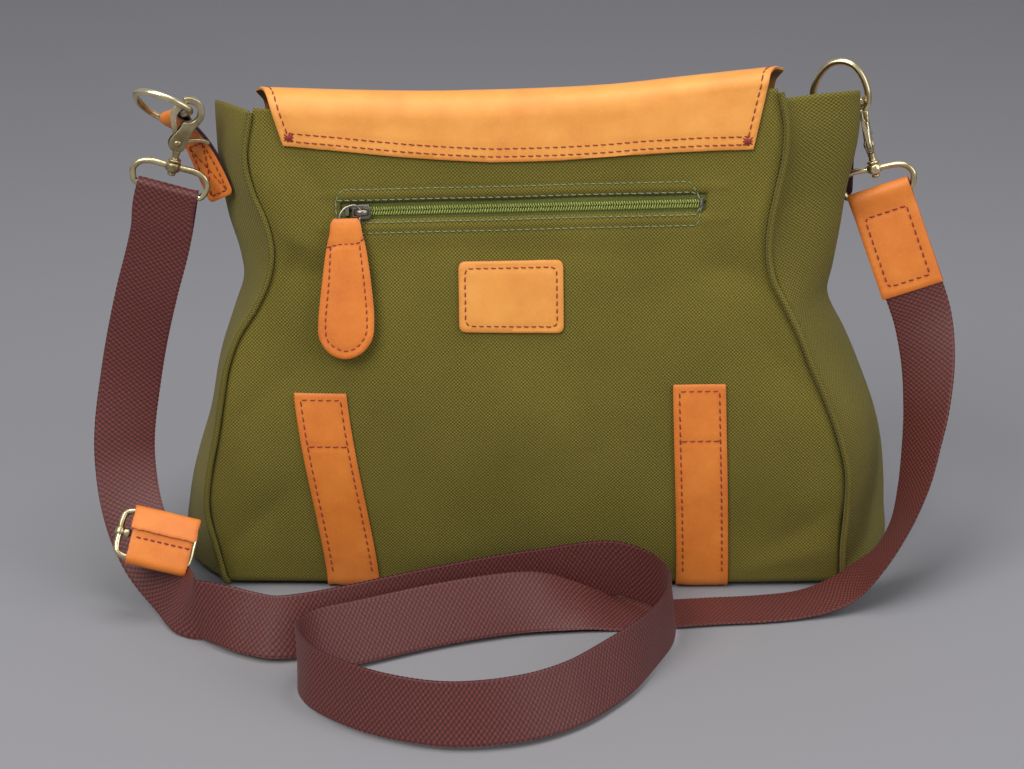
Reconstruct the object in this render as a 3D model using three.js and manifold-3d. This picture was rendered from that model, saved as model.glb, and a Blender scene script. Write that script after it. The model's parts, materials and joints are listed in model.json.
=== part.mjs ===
// Canvas messenger bag with a leather flap, a webbing shoulder strap and trigger hooks.
// Millimetres, +Z up. The back panel faces -Y, the flap front faces +Y, +X is the wearer's left.
import * as THREE from 'three';
import Module from 'manifold-3d';

const wasm = await Module();
wasm.setup();

// ---------------------------------------------------------------- driving dimensions
const ORIGIN_SHIFT = [6.2, -6.2, 0];   // puts the origin under the middle of the bag and its rings
const PANEL_BOTTOM = 2.6;
const PANEL_TOP = 322;
const GUSSET_TOP = 315;
const MOUTH_DROP = 24;                // the mouth slopes down by this from the back to the front
const CANVAS = 1.6;                  // canvas with its interlining
const PIPING_RADIUS = 2.0;
const SEAM_GAP = 2.9;                // from a panel edge to the middle of the piping
const LEATHER = 2.0;
const GAP = 0.5;                     // between a sewn piece and what it lies on
const LINING_INSET = 9.0;
const LINING_THICKNESS = 1.0;
const FLAP_GAP = 4.0;
const RING_WIRE = 2.0;
const RING_HALF_WIDTH = 17.5;
const RING_HEIGHT = 29;
const TAB_WIDTH = 20;
const HOOK_THICKNESS = 4.4;
const HOOK_SLOT = 2.6;
const GATE_THICKNESS = 2.0;
const BAIL_WIRE = 2.0;
const BAIL_DROP = 52;                // from the middle of the claw's opening to the bail's bar
const WEBBING_WIDTH = 38;
const WEBBING_THICKNESS = 1.6;
const ZIP_START = [-112, 247.8];       // x, z of the closed end
const ZIP_END = [99, 253];
const ZIP_FACE = -46.5;              // y of the panel's outer face at the zip

// Outline of the bag at rest. Each row is [height, value].
const PIPE_LEFT = [[0, -199], [20, -203], [45, -208], [65, -210], [85, -206], [115, -200], [145, -195],
  [165, -189], [190, -174], [213, -165], [235, -166], [262, -176], [285, -180], [300, -178], [322, -171]];
const PIPE_RIGHT = [[0, 196], [43, 195], [65, 197], [85, 195], [110, 188], [130, 180], [150, 171],
  [170, 163], [188, 154], [206, 145], [225, 142], [247, 144], [271, 149], [292, 152], [308, 150], [322, 147]];
const CREST_LEFT = [[0, -228], [25, -229], [50, -226], [77, -219], [105, -210], [143, -202], [172, -193],
  [194, -186], [212, -188], [235, -195], [265, -199], [300, -201], [322, -199]];
const CREST_RIGHT = [[0, 226], [15, 231], [35, 229], [77, 224], [105, 217], [130, 208], [154, 198],
  [181, 185], [200, 187], [225, 191], [248, 194], [287, 199], [322, 199]];
const EDGE_DEPTH = [[0, 59], [30, 61], [80, 62], [120, 60], [160, 56], [200, 51], [240, 46.5], [280, 41],
  [322, 34]];
const MIDDLE_DEPTH = [[0, 60], [30, 66], [80, 69], [120, 67], [160, 61], [200, 54], [240, 47],
  [280, 41.5], [322, 34]];

// Route of the webbing: middle of the strap, then the direction across it. From the left bail down to
// the surface, round the loop and up to the leather end at the right bail.
const STRAP_ROUTE = [
  [-228.4, -38, 252.3, 0.97, 0.00, -0.26],
  [-235, -36.1, 222.8, 0.98, 0.00, -0.20],
  [-244, -35.5, 191.5, 0.99, 0.00, -0.14],
  [-252, -34.7, 159.1, 1.00, 0.07, -0.04],
  [-257, -36.4, 132.7, 0.99, 0.16, 0.01],
  [-261, -42.6, 103.3, 0.96, 0.27, 0.03],
  [-261, -49, 82, 0.93, 0.34, 0.08],
  [-256, -64, 57, 0.93, 0.30, 0.20],
  [-244, -83, 33, 0.80, 0.05, 0.60],
  [-228, -104, 20.7, 0.63, -0.20, 0.75],
  [-215, -127, 18.7, 0.53, -0.30, 0.79],
  [-204, -136, 20.7, 0.38, -0.15, 0.91],
  [-191, -145, 21.7, 0.26, 0.17, 0.95],
  [-176, -152, 20.7, 0.20, 0.38, 0.90],
  [-160, -158, 20.7, 0.15, 0.40, 0.90],
  [-141, -156, 21.7, 0.05, 0.35, 0.93],
  [-115, -144, 21.7, 0.00, 0.25, 0.97],
  [-82, -128, 22.7, 0.00, 0.15, 0.99],
  [-48, -111, 22.7, 0.00, 0.08, 1.00],
  [-18, -98, 22.7, 0.00, 0.05, 1.00],
  [8, -89, 22.7, 0.00, 0.02, 1.00],
  [32, -87, 25.7, 0.00, 0.00, 1.00],
  [49, -90, 27.7, -0.03, 0.00, 1.00],
  [65, -98, 26.7, -0.05, -0.02, 1.00],
  [76, -110, 25.7, -0.10, 0.00, 1.00],
  [82, -127, 24.7, -0.10, 0.00, 1.00],
  [80, -148, 22.7, -0.10, 0.00, 1.00],
  [71, -170, 21.7, -0.05, 0.10, 0.99],
  [59, -193, 21.7, 0.00, 0.35, 0.94],
  [41, -218, 20.7, -0.10, 0.45, 0.89],
  [18, -244, 20.7, -0.10, 0.45, 0.89],
  [-11, -263, 21.7, 0.00, 0.38, 0.92],
  [-51, -270, 21.7, 0.00, 0.25, 0.97],
  [-87, -260, 21.7, 0.02, 0.20, 0.98],
  [-115, -242, 21.7, 0.05, 0.20, 0.98],
  [-136, -219, 21.7, 0.05, 0.15, 0.99],
  [-142, -197, 21.7, -0.03, 0.15, 0.99],
  [-132, -178, 21.2, -0.20, 0.30, 0.93],
  [-107, -163, 20.2, -0.29, 0.39, 0.87],
  [-61, -140, 20.2, -0.05, 0.45, 0.89],
  [-23, -126, 20.2, -0.05, 0.43, 0.90],
  [1, -117, 17.7, -0.05, 0.62, 0.78],
  [25, -109, 11.2, -0.05, 0.91, 0.41],
  [50, -105, 4, -0.02, 0.99, 0.12],
  [80, -102, 2, 0.00, 1.00, 0.01],
  [112, -98, 1.9, 0.00, 1.00, 0.00],
  [140, -95, 1.9, 0.00, 1.00, 0.00],
  [165, -90, 2.4, -0.05, 1.00, 0.00],
  [182, -86, 5.4, -0.30, 0.95, 0.00],
  [197, -81, 11.4, -0.46, 0.88, -0.10],
  [216, -77, 28.4, -0.33, 0.83, -0.44],
  [230, -66, 46, -0.21, 0.88, -0.41],
  [239, -54, 69, -0.41, 0.85, -0.33],
  [244, -43, 93, -0.53, 0.79, -0.31],
  [247, -35, 116, -0.66, 0.68, -0.27],
  [246, -26, 140, -0.80, 0.55, -0.22],
  [242, -16, 166, -0.92, 0.28, -0.26],
  [239, -10, 184, -0.93, 0.20, -0.31],
];
const STRAP_STEPS = 88;

// ---------------------------------------------------------------- colours
const COLOURS = {
  canvas: ['#4a4d17', 0.95, 0.0],
  lining: ['#8a7f63', 0.95, 0.0],
  leather: ['#c9772f', 0.6, 0.0],
  brass: ['#9c8a5a', 0.35, 1.0],
  bronze: ['#6d6252', 0.4, 1.0],
  webbing: ['#4d2320', 0.9, 0.0],
  coil: ['#8d8f3a', 0.5, 0.0],
  tape: ['#55562a', 0.9, 0.0],
  board: ['#2c2a28', 0.8, 0.0],
};

const bag = new THREE.Group();

function add(name, geometry, look) {
  const [colour, roughness, metalness] = COLOURS[look];
  const material = new THREE.MeshStandardMaterial({ color: colour, roughness, metalness });
  const mesh = new THREE.Mesh(geometry, material);
  mesh.name = name;
  bag.add(mesh);
  return mesh;
}

// ---------------------------------------------------------------- general helpers
const v3 = (p) => new THREE.Vector3(p[0], p[1], p[2]);
const plus = (p, q, k = 1) => [p[0] + q[0] * k, p[1] + q[1] * k, p[2] + q[2] * k];
const unit = (p) => v3(p).normalize().toArray();
const cross = (p, q) => v3(p).cross(v3(q)).toArray();
const lerp = (a, b, t) => a + (b - a) * t;

// A smooth curve through [height, value] rows.
function curveAt(rows, z) {
  const last = rows.length - 1;
  if (z <= rows[0][0]) return rows[0][1];
  if (z >= rows[last][0]) return rows[last][1];
  let i = 0;
  while (z > rows[i + 1][0]) i += 1;
  const slope = (k) => {
    const lo = Math.max(k - 1, 0);
    const hi = Math.min(k + 1, last);
    return (rows[hi][1] - rows[lo][1]) / (rows[hi][0] - rows[lo][0]);
  };
  const h = rows[i + 1][0] - rows[i][0];
  const t = (z - rows[i][0]) / h;
  const t2 = t * t;
  const t3 = t2 * t;
  return (2 * t3 - 3 * t2 + 1) * rows[i][1] + (t3 - 2 * t2 + t) * h * slope(i)
    + (3 * t2 - 2 * t3) * rows[i + 1][1] + (t3 - t2) * h * slope(i + 1);
}

// A closed mesh from points and triangles, turned so that its faces point out.
function solid(points, triangles) {
  let volume = 0;
  for (const [a, b, c] of triangles) {
    const [p, q, r] = [points[a], points[b], points[c]];
    volume += p[0] * (q[1] * r[2] - q[2] * r[1]) - p[1] * (q[0] * r[2] - q[2] * r[0])
      + p[2] * (q[0] * r[1] - q[1] * r[0]);
  }
  const index = volume < 0 ? triangles.map(([a, b, c]) => [a, c, b]) : triangles;
  const geometry = new THREE.BufferGeometry();
  geometry.setAttribute('position', new THREE.Float32BufferAttribute(points.flat(), 3));
  geometry.setIndex(index.flat());
  return geometry;
}

// A plate between two sheets, each given as a function of u and v from 0 to 1.
function plate(nu, nv, outer, inner) {
  const points = [];
  for (const face of [outer, inner]) {
    for (let j = 0; j <= nv; j += 1) {
      for (let i = 0; i <= nu; i += 1) points.push(face(i / nu, j / nv));
    }
  }
  const count = (nu + 1) * (nv + 1);
  const at = (side, i, j) => side * count + j * (nu + 1) + i;
  const triangles = [];
  const quad = (a, b, c, d) => triangles.push([a, b, c], [a, c, d]);
  for (let j = 0; j < nv; j += 1) {
    for (let i = 0; i < nu; i += 1) {
      quad(at(0, i, j), at(0, i + 1, j), at(0, i + 1, j + 1), at(0, i, j + 1));
      quad(at(1, i, j + 1), at(1, i + 1, j + 1), at(1, i + 1, j), at(1, i, j));
    }
  }
  for (let i = 0; i < nu; i += 1) {
    quad(at(1, i, 0), at(1, i + 1, 0), at(0, i + 1, 0), at(0, i, 0));
    quad(at(0, i, nv), at(0, i + 1, nv), at(1, i + 1, nv), at(1, i, nv));
  }
  for (let j = 0; j < nv; j += 1) {
    quad(at(0, 0, j), at(0, 0, j + 1), at(1, 0, j + 1), at(1, 0, j));
    quad(at(1, nu, j), at(1, nu, j + 1), at(0, nu, j + 1), at(0, nu, j));
  }
  return solid(points, triangles);
}

// A skin through rings of equal length, open loops joined end to end, with flat ends.
function loft(rings, closed = false) {
  const n = rings[0].length;
  const points = rings.flat();
  const triangles = [];
  const spans = closed ? rings.length : rings.length - 1;
  for (let j = 0; j < spans; j += 1) {
    const next = (j + 1) % rings.length;
    for (let i = 0; i < n; i += 1) {
      const k = (i + 1) % n;
      triangles.push([j * n + i, j * n + k, next * n + k], [j * n + i, next * n + k, next * n + i]);
    }
  }
  if (!closed) {
    const end = (rings.length - 1) * n;
    for (let i = 1; i < n - 1; i += 1) {
      triangles.push([0, i + 1, i], [end, end + i, end + i + 1]);
    }
  }
  return solid(points, triangles);
}

// A flat strip along stations [middle, across], with a rectangular section.
function ribbon(stations, width, thickness) {
  const rings = stations.map(([middle, across], i) => {
    const before = stations[Math.max(i - 1, 0)][0];
    const after = stations[Math.min(i + 1, stations.length - 1)][0];
    const along = unit(plus(after, before, -1));
    const normal = unit(cross(along, across));
    const side = unit(cross(normal, along));
    const corner = (s, t) => plus(plus(middle, side, s * width / 2), normal, t * thickness / 2);
    return [corner(-1, -1), corner(1, -1), corner(1, 1), corner(-1, 1)];
  });
  return loft(rings);
}

// A round wire through points. A closed one runs on into its start.
function wire(points, radius, steps, sides, closed) {
  const curve = new THREE.CatmullRomCurve3(points.map(v3), closed, 'centripetal');
  const frames = curve.computeFrenetFrames(steps, closed);
  const rings = [];
  const count = closed ? steps : steps + 1;
  for (let j = 0; j < count; j += 1) {
    const middle = curve.getPointAt(j / steps).toArray();
    const a = frames.normals[j].toArray();
    const b = frames.binormals[j].toArray();
    const ring = [];
    for (let i = 0; i < sides; i += 1) {
      const angle = 2 * Math.PI * i / sides;
      ring.push(plus(plus(middle, a, radius * Math.cos(angle)), b, radius * Math.sin(angle)));
    }
    rings.push(ring);
  }
  return loft(rings, closed);
}

// A flat outline, with optional holes, given a thickness. The frame is {o, x, y, n}.
function prism(outline, from, to, frame, holes = []) {
  const flat = (list) => list.map(([x, y]) => new THREE.Vector2(x, y));
  const contour = flat(outline);
  if (THREE.ShapeUtils.area(contour) < 0) contour.reverse();
  const inner = holes.map((hole) => {
    const loop = flat(hole);
    if (THREE.ShapeUtils.area(loop) > 0) loop.reverse();
    return loop;
  });
  const faces = THREE.ShapeUtils.triangulateShape(contour, inner);
  const all = [contour, ...inner].flat();
  const n = all.length;
  const place = (p, h) => plus(plus(plus(frame.o, frame.x, p.x), frame.y, p.y), frame.n, h);
  const points = [...all.map((p) => place(p, from)), ...all.map((p) => place(p, to))];
  const triangles = [];
  for (const [a, b, c] of faces) triangles.push([a, c, b], [a + n, b + n, c + n]);
  let start = 0;
  for (const loop of [contour, ...inner]) {
    for (let i = 0; i < loop.length; i += 1) {
      const a = start + i;
      const b = start + (i + 1) % loop.length;
      triangles.push([a, b, b + n], [a, b + n, a + n]);
    }
    start += loop.length;
  }
  return solid(points, triangles);
}

// A turned piece: profile [radius, height] from axis to axis, along the frame's normal.
function turned(profile, sides, frame) {
  const points = [];
  const rows = profile.map(([r, h]) => {
    if (r === 0) {
      points.push(plus(frame.o, frame.n, h));
      return [points.length - 1];
    }
    const row = [];
    for (let i = 0; i < sides; i += 1) {
      const angle = 2 * Math.PI * (i + 0.5) / sides;
      const p = plus(plus(frame.o, frame.x, r * Math.cos(angle)), frame.y, r * Math.sin(angle));
      points.push(plus(p, frame.n, h));
      row.push(points.length - 1);
    }
    return row;
  });
  const triangles = [];
  for (let j = 0; j < rows.length - 1; j += 1) {
    const [low, high] = [rows[j], rows[j + 1]];
    for (let i = 0; i < sides; i += 1) {
      const k = (i + 1) % sides;
      if (low.length === 1) triangles.push([low[0], high[k], high[i]]);
      else if (high.length === 1) triangles.push([low[i], low[k], high[0]]);
      else triangles.push([low[i], low[k], high[k]], [low[i], high[k], high[i]]);
    }
  }
  return solid(points, triangles);
}

const circle = (x, y, r, n) => Array.from({ length: n }, (_, i) => {
  const angle = 2 * Math.PI * (i + 0.5) / n;
  return [x + r * Math.cos(angle), y + r * Math.sin(angle)];
});

const box = (x0, x1, y0, y1) => [[x0, y0], [x1, y0], [x1, y1], [x0, y1]];

function toManifold(geometry) {
  return new wasm.Manifold(new wasm.Mesh({
    numProp: 3,
    vertProperties: new Float32Array(geometry.attributes.position.array),
    triVerts: new Uint32Array(geometry.index.array),
  }));
}

// Keeps the largest piece, so that a cut leaves no loose sliver.
function fromManifold(body) {
  const pieces = body.decompose().sort((a, b) => b.volume() - a.volume());
  const mesh = pieces[0].getMesh();
  const geometry = new THREE.BufferGeometry();
  geometry.setAttribute('position', new THREE.BufferAttribute(new Float32Array(mesh.vertProperties), 3));
  geometry.setIndex(Array.from(mesh.triVerts));
  return geometry;
}

const cut = (body, ...tools) => fromManifold(
  tools.reduce((rest, tool) => rest.subtract(toManifold(tool)), toManifold(body)));
const join = (...bodies) => fromManifold(
  bodies.slice(1).reduce((sum, part) => sum.add(toManifold(part)), toManifold(bodies[0])));

// ---------------------------------------------------------------- the bag's surfaces
// Depth of the back and front faces, measured from the middle of the bag.
function faceDepth(x, z) {
  const left = curveAt(PIPE_LEFT, z);
  const right = curveAt(PIPE_RIGHT, z);
  const across = Math.min(Math.max((x - left) / (right - left), 0), 1) * 2 - 1;
  const swell = 1 - across * across;
  return lerp(curveAt(EDGE_DEPTH, z), curveAt(MIDDLE_DEPTH, z), swell);
}
const backY = (x, z) => -faceDepth(x, z);
const frontY = (x, z) => faceDepth(x, z);

// Side face: t runs from the back piping (0) to the front piping (1).
// Near the top of the right side the fold is sharper and lies nearer the back.
function gussetX(side, t, z) {
  const pipe = curveAt(side < 0 ? PIPE_LEFT : PIPE_RIGHT, z);
  const crest = curveAt(side < 0 ? CREST_LEFT : CREST_RIGHT, z);
  const folded = side < 0 ? 0 : THREE.MathUtils.smoothstep(z, 200, 280);
  const fold = 0.5 - 0.08 * folded;
  const turn = t < fold ? 0.5 * t / fold : 0.5 + 0.5 * (t - fold) / (1 - fold);
  return pipe + (crest - pipe) * Math.sin(Math.PI * turn) ** (1 + folded);
}

function facePanel(direction) {
  const top = direction < 0 ? PANEL_TOP : PANEL_TOP - MOUTH_DROP;
  const sheet = (inset) => (u, v) => {
    const z = lerp(PANEL_BOTTOM, top, v);
    const x = lerp(curveAt(PIPE_LEFT, z) + SEAM_GAP, curveAt(PIPE_RIGHT, z) - SEAM_GAP, u);
    return [x, direction * (faceDepth(x, z) - inset), z];
  };
  return plate(10, 22, sheet(0), sheet(CANVAS));
}

function gusset(side) {
  const sheet = (inset) => (u, v) => {
    const z = lerp(PANEL_BOTTOM, GUSSET_TOP - MOUTH_DROP * u, v);
    const depth = curveAt(EDGE_DEPTH, z) - SEAM_GAP;
    const reach = depth / curveAt(EDGE_DEPTH, z);
    const t = 0.5 + (u - 0.5) * reach;
    return [gussetX(side, t, z) - side * inset, lerp(-depth, depth, u), z];
  };
  return plate(8, 20, sheet(0), sheet(CANVAS));
}

function basePanel() {
  const sheet = (z) => (u, v) => {
    const y = lerp(-56.2, 56.2, v);
    const t = 0.5 + y / 120;
    const inset = CANVAS + 0.9;
    const left = Math.min(gussetX(-1, t, 4) + inset, curveAt(PIPE_LEFT, 0));
    const right = Math.max(gussetX(1, t, 4) - inset, curveAt(PIPE_RIGHT, 0));
    return [lerp(left, right, u), y, z];
  };
  return plate(6, 8, sheet(PANEL_BOTTOM), sheet(PANEL_BOTTOM + CANVAS));
}

// Self piping along the seam between a face and a gusset.
function piping(side, direction) {
  const rows = side < 0 ? PIPE_LEFT : PIPE_RIGHT;
  const top = direction < 0 ? 318 : 318 - MOUTH_DROP;
  const heights = [300, 280, 260, 240, 222, 205, 188, 170, 150, 130, 105, 80, 55, 30, 12, 2.4];
  const points = [top, ...heights.filter((z) => z < top - 8)].map((z) => [curveAt(rows, z), direction * curveAt(EDGE_DEPTH, z), z]);
  return wire(points, PIPING_RADIUS, 26, 6, false);
}

// The lining is an open-topped bag inside the panels.
function lining() {
  const heights = [8.5, 30, 55, 80, 105, 130, 155, 175, 195, 215, 240, 265, 288];
  const corner = 14;
  const loop = (z, inset) => {
    const ring = [];
    const left = curveAt(PIPE_LEFT, z) + inset;
    const right = curveAt(PIPE_RIGHT, z) - inset;
    const edge = curveAt(EDGE_DEPTH, z) - inset;
    for (let i = 0; i <= 6; i += 1) {
      const x = lerp(left + corner, right - corner, i / 6);
      ring.push([x, -faceDepth(x, z) + inset, z]);
    }
    for (const t of [-0.6, 0, 0.6]) {
      ring.push([lerp(right, curveAt(CREST_RIGHT, z) - inset, 0.55 * (1 - t * t)), edge * t, z]);
    }
    for (let i = 6; i >= 0; i -= 1) {
      const x = lerp(left + corner, right - corner, i / 6);
      ring.push([x, faceDepth(x, z) - inset, z]);
    }
    for (const t of [0.6, 0, -0.6]) {
      ring.push([lerp(left, curveAt(CREST_LEFT, z) + inset, 0.55 * (1 - t * t)), edge * t, z]);
    }
    return ring;
  };
  const outside = heights.map((z) => loop(z, LINING_INSET));
  const inside = heights.map((z) => loop(z, LINING_INSET + LINING_THICKNESS)).reverse();
  inside[inside.length - 1] = inside[inside.length - 1].map(([x, y, z]) => [x, y, z + LINING_THICKNESS]);
  return loft([...outside, ...inside]);
}

// A leather piece lying on the back or front face: side edges and heights given, offset from the face.
function applique(direction, leftAt, rightAt, low, high, from, thickness, nu, nv) {
  const sheet = (offset) => (u, v) => {
    const guess = lerp(leftAt(v), rightAt(v), u);
    const z = lerp(low(guess), high(guess), v);
    return [guess, direction * (faceDepth(guess, z) + offset), z];
  };
  return plate(nu, nv, sheet(from + thickness), sheet(from));
}

// ---------------------------------------------------------------- body of the bag
const zipAngle = Math.atan2(ZIP_END[1] - ZIP_START[1], ZIP_END[0] - ZIP_START[0]);
const zipLength = Math.hypot(ZIP_END[1] - ZIP_START[1], ZIP_END[0] - ZIP_START[0]);
const ZIP_LEAN = Math.atan(0.14);
// Frame of the zip: x along the chain, y up the panel, n out of the bag.
const zipFrame = {
  o: [ZIP_START[0], ZIP_FACE, ZIP_START[1]],
  x: [Math.cos(zipAngle), 0, Math.sin(zipAngle)],
};
zipFrame.n = unit(cross(cross(zipFrame.x, [0, -Math.cos(ZIP_LEAN), Math.sin(ZIP_LEAN)]), zipFrame.x));
zipFrame.y = cross(zipFrame.n, zipFrame.x);

const zipWindow = prism(box(-9, zipLength + 4, -5.2, 5.2), -8, 8, zipFrame);
add('back_panel', cut(facePanel(-1), zipWindow), 'canvas');
add('front_panel', facePanel(1), 'canvas');
add('gusset_left', gusset(-1), 'canvas');
add('gusset_right', gusset(1), 'canvas');
add('base_panel', basePanel(), 'canvas');
add('piping_back_left', piping(-1, -1), 'canvas');
add('piping_back_right', piping(1, -1), 'canvas');
add('piping_front_left', piping(-1, 1), 'canvas');
add('piping_front_right', piping(1, 1), 'canvas');
add('lining', lining(), 'lining');
add('base_board', prism(box(-188, 185, -54, 54), 5.0, 7.6, {
  o: [0, 0, 0], x: [1, 0, 0], y: [0, 1, 0], n: [0, 0, 1],
}), 'board');

// ---------------------------------------------------------------- zip pocket
add('zip_tape', prism(box(-14, zipLength + 9, -12, 12), -4.9, -4.0, zipFrame), 'tape');
add('zip_coil', prism(box(0, zipLength - 1, -2.6, 2.6), -3.6, -1.5, zipFrame), 'coil');
add('zip_stop_closed', prism(box(-6.6, -3.6, -2.8, 2.8), -3.6, -1.5, zipFrame), 'bronze');
add('zip_stop_open', prism(box(zipLength - 0.6, zipLength + 2.4, -3.2, 3.2), -3.6, -1.2, zipFrame), 'bronze');
add('zip_pocket_bag', prism(
  [[-12, 10], [-12, -95], [zipLength + 8, -95], [zipLength + 8, 10]], -6.5, -5.3, zipFrame), 'lining');

// The slider is a channel over the coil with a bridge for the pull.
const sliderSection = [[-4.4, -3.4], [-3.2, -3.4], [-3.2, -1.1], [3.2, -1.1], [3.2, -3.4], [4.4, -3.4],
  [4.4, 0.6], [-4.4, 0.6]];
const alongZip = (from) => ({
  o: plus(zipFrame.o, zipFrame.x, from), x: zipFrame.y, y: zipFrame.n, n: zipFrame.x,
});
const sliderBody = prism(sliderSection, 0, 11, alongZip(-1.5));
const bridge = prism([[1.6, 0.3], [1.6, 4.4], [8.8, 4.4], [8.8, 0.3], [7.7, 0.3], [7.7, 3.4], [2.7, 3.4],
  [2.7, 0.3]], -1.2, 1.2, { o: plus(zipFrame.o, zipFrame.x, -1.5), x: zipFrame.x, y: zipFrame.n, n: zipFrame.y });
add('zip_slider', join(sliderBody, bridge), 'bronze');

// A wire pull goes through the bridge and carries the leather puller.
// The pull leans outwards, so that the puller passes over the label when the slider travels.
const PULL_AT = 3.6;
const PULL_LEAN = 0.06;
const pullFrame = { o: zipFrame.o, x: zipFrame.x, y: unit(plus(zipFrame.y, zipFrame.n, -PULL_LEAN)) };
pullFrame.n = cross(pullFrame.x, pullFrame.y);
const pullPoint = (along, down, out) => plus(plus(plus(pullFrame.o, pullFrame.x, along), pullFrame.y, -down),
  pullFrame.n, out);
const pullLoop = [[PULL_AT, 0, 2.0], [0.4, -4.2, 2.1], [-6.4, -2.6, 2.4], [-9.8, 3, 2.8],
  [-9.2, 9.6, 2.9], [-5.5, 11.2, 2.9], [-0.5, 9.4, 2.9], [2.6, 4.6, 2.4]];
add('zip_pull', wire(pullLoop.map((p) => pullPoint(...p)), 0.75, 24, 6, true), 'bronze');

// Two leather layers sewn into one puller, with the pull's wire in a pocket at the top.
function zipPuller() {
  const outline = [[-13.5, -6.5], [1.5, -6.5], [5.5, -24], [8.5, -50], [9.8, -76], [7.5, -90], [0, -99],
    [-10, -102], [-19, -98], [-24.5, -88], [-25, -78], [-21.5, -50], [-17.5, -24]];
  const body = prism(outline, 1.6, 4.2, pullFrame);
  const pocket = wire(pullLoop.map((p) => pullPoint(...p)), 1.15, 24, 8, true);
  const mouth = prism([[-12, -4], [1.2, -4], [1.2, -9.6], [-12, -9.6]], 1.2, 2.9, pullFrame);
  return cut(body, pocket, mouth);
}
add('zip_puller', zipPuller(), 'leather');

// ---------------------------------------------------------------- leather on the body
add('back_label', applique(-1, (v) => lerp(-48.5, -49, v), (v) => lerp(15.5, 15, v),
  () => 170, () => 218, GAP, LEATHER, 4, 4), 'leather');

function yokeLow(x) {
  return 279 + 5.5 * ((x + 10) / 125) ** 2;
}
add('flap_yoke', applique(-1, (v) => lerp(-157, -167.5, v), (v) => lerp(131, 142.5, v),
  yokeLow, () => 321.5, GAP, LEATHER, 14, 4), 'leather');

// A base strap goes up the back face, under the base and up the front face.
const BASE_STRAP_WIDTH = 33;
const STRAP_CORNER = [58.4, 4.8];                 // depth and height of the bend round the base edge
const CORNER_REACH = [[0, 2.3], [30, 2.8], [55, 3.2], [90, 2.8]];
function baseStrap(backX, lowX, backTop, frontTop) {
  const rows = [];
  const onFace = (direction, z) => (x, o) => [x, direction * (faceDepth(x, z) + o), z];
  const onCorner = (direction, degrees) => (x, o) => {
    const reach = curveAt(CORNER_REACH, degrees) + o - GAP;
    const angle = THREE.MathUtils.degToRad(degrees);
    return [x, direction * (STRAP_CORNER[0] + reach * Math.cos(angle)),
      STRAP_CORNER[1] - reach * Math.sin(angle)];
  };
  const underBase = (y) => (x, o) => [x, y, PANEL_BOTTOM - 0.1 - o];
  for (let i = 0; i <= 9; i += 1) {
    rows.push([lerp(backX, lowX, i / 9), onFace(-1, lerp(backTop, 13, i / 9))]);
  }
  rows.push([lowX, onFace(-1, 8)]);
  for (const degrees of [5, 30, 55, 90]) rows.push([lowX, onCorner(-1, degrees)]);
  for (const y of [-40, 0, 40]) rows.push([lowX, underBase(y)]);
  for (const degrees of [90, 55, 30, 5]) rows.push([lowX, onCorner(1, degrees)]);
  rows.push([lowX, onFace(1, 8)]);
  for (let i = 0; i <= 5; i += 1) rows.push([lowX, onFace(1, lerp(13, frontTop, i / 5))]);
  const sheet = (offset) => (u, v) => {
    const [middle, place] = rows[Math.round(v * (rows.length - 1))];
    return place(middle + lerp(-0.5, 0.5, u) * BASE_STRAP_WIDTH, offset);
  };
  return plate(2, rows.length - 1, sheet(GAP + LEATHER), sheet(GAP));
}
add('base_strap_left', baseStrap(-135.5, -117.5, 135, 88), 'leather');
add('base_strap_right', baseStrap(100.5, 105.5, 141, 88), 'leather');

// ---------------------------------------------------------------- rings and their tabs
// A ring frame: o in the middle of the straight bar, x along the bar, y to the round side.
function ringFrame(o, bar, out) {
  const x = unit(bar);
  const y = unit(plus(out, x, -v3(out).dot(v3(x))));
  return { o, x, y, n: cross(x, y) };
}
const inFrame = (frame, x, y, n = 0) => plus(plus(plus(frame.o, frame.x, x), frame.y, y), frame.n, n);

const LEFT_RING = ringFrame([-220.6, -27.4, 303.7], [0.60, -0.72, 0.35], [-0.62, -0.45, 0.64]);
const RIGHT_RING = ringFrame([190.2, 20.0, 295.9], [-0.92, 0.39, 0], [-0.05, 0.1, 0.99]);

function dRing(frame) {
  const w = RING_HALF_WIDTH;
  const h = RING_HEIGHT;
  const outline = [[-w + 3, 0], [0, 0], [w - 3, 0], [w - 0.6, 1.4], [w + 0.4, 5], [w - 0.6, 13],
    [w - 5, 22], [w - 10.5, 27.2], [0, h], [-w + 10.5, 27.2], [-w + 5, 22], [-w + 0.6, 13],
    [-w - 0.4, 5], [-w + 0.6, 1.4]];
  return wire(outline.map(([x, y]) => inFrame(frame, x, y)), RING_WIRE, 30, 8, true);
}
add('d_ring_left', dRing(LEFT_RING), 'brass');
add('d_ring_right', dRing(RIGHT_RING), 'brass');

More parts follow.
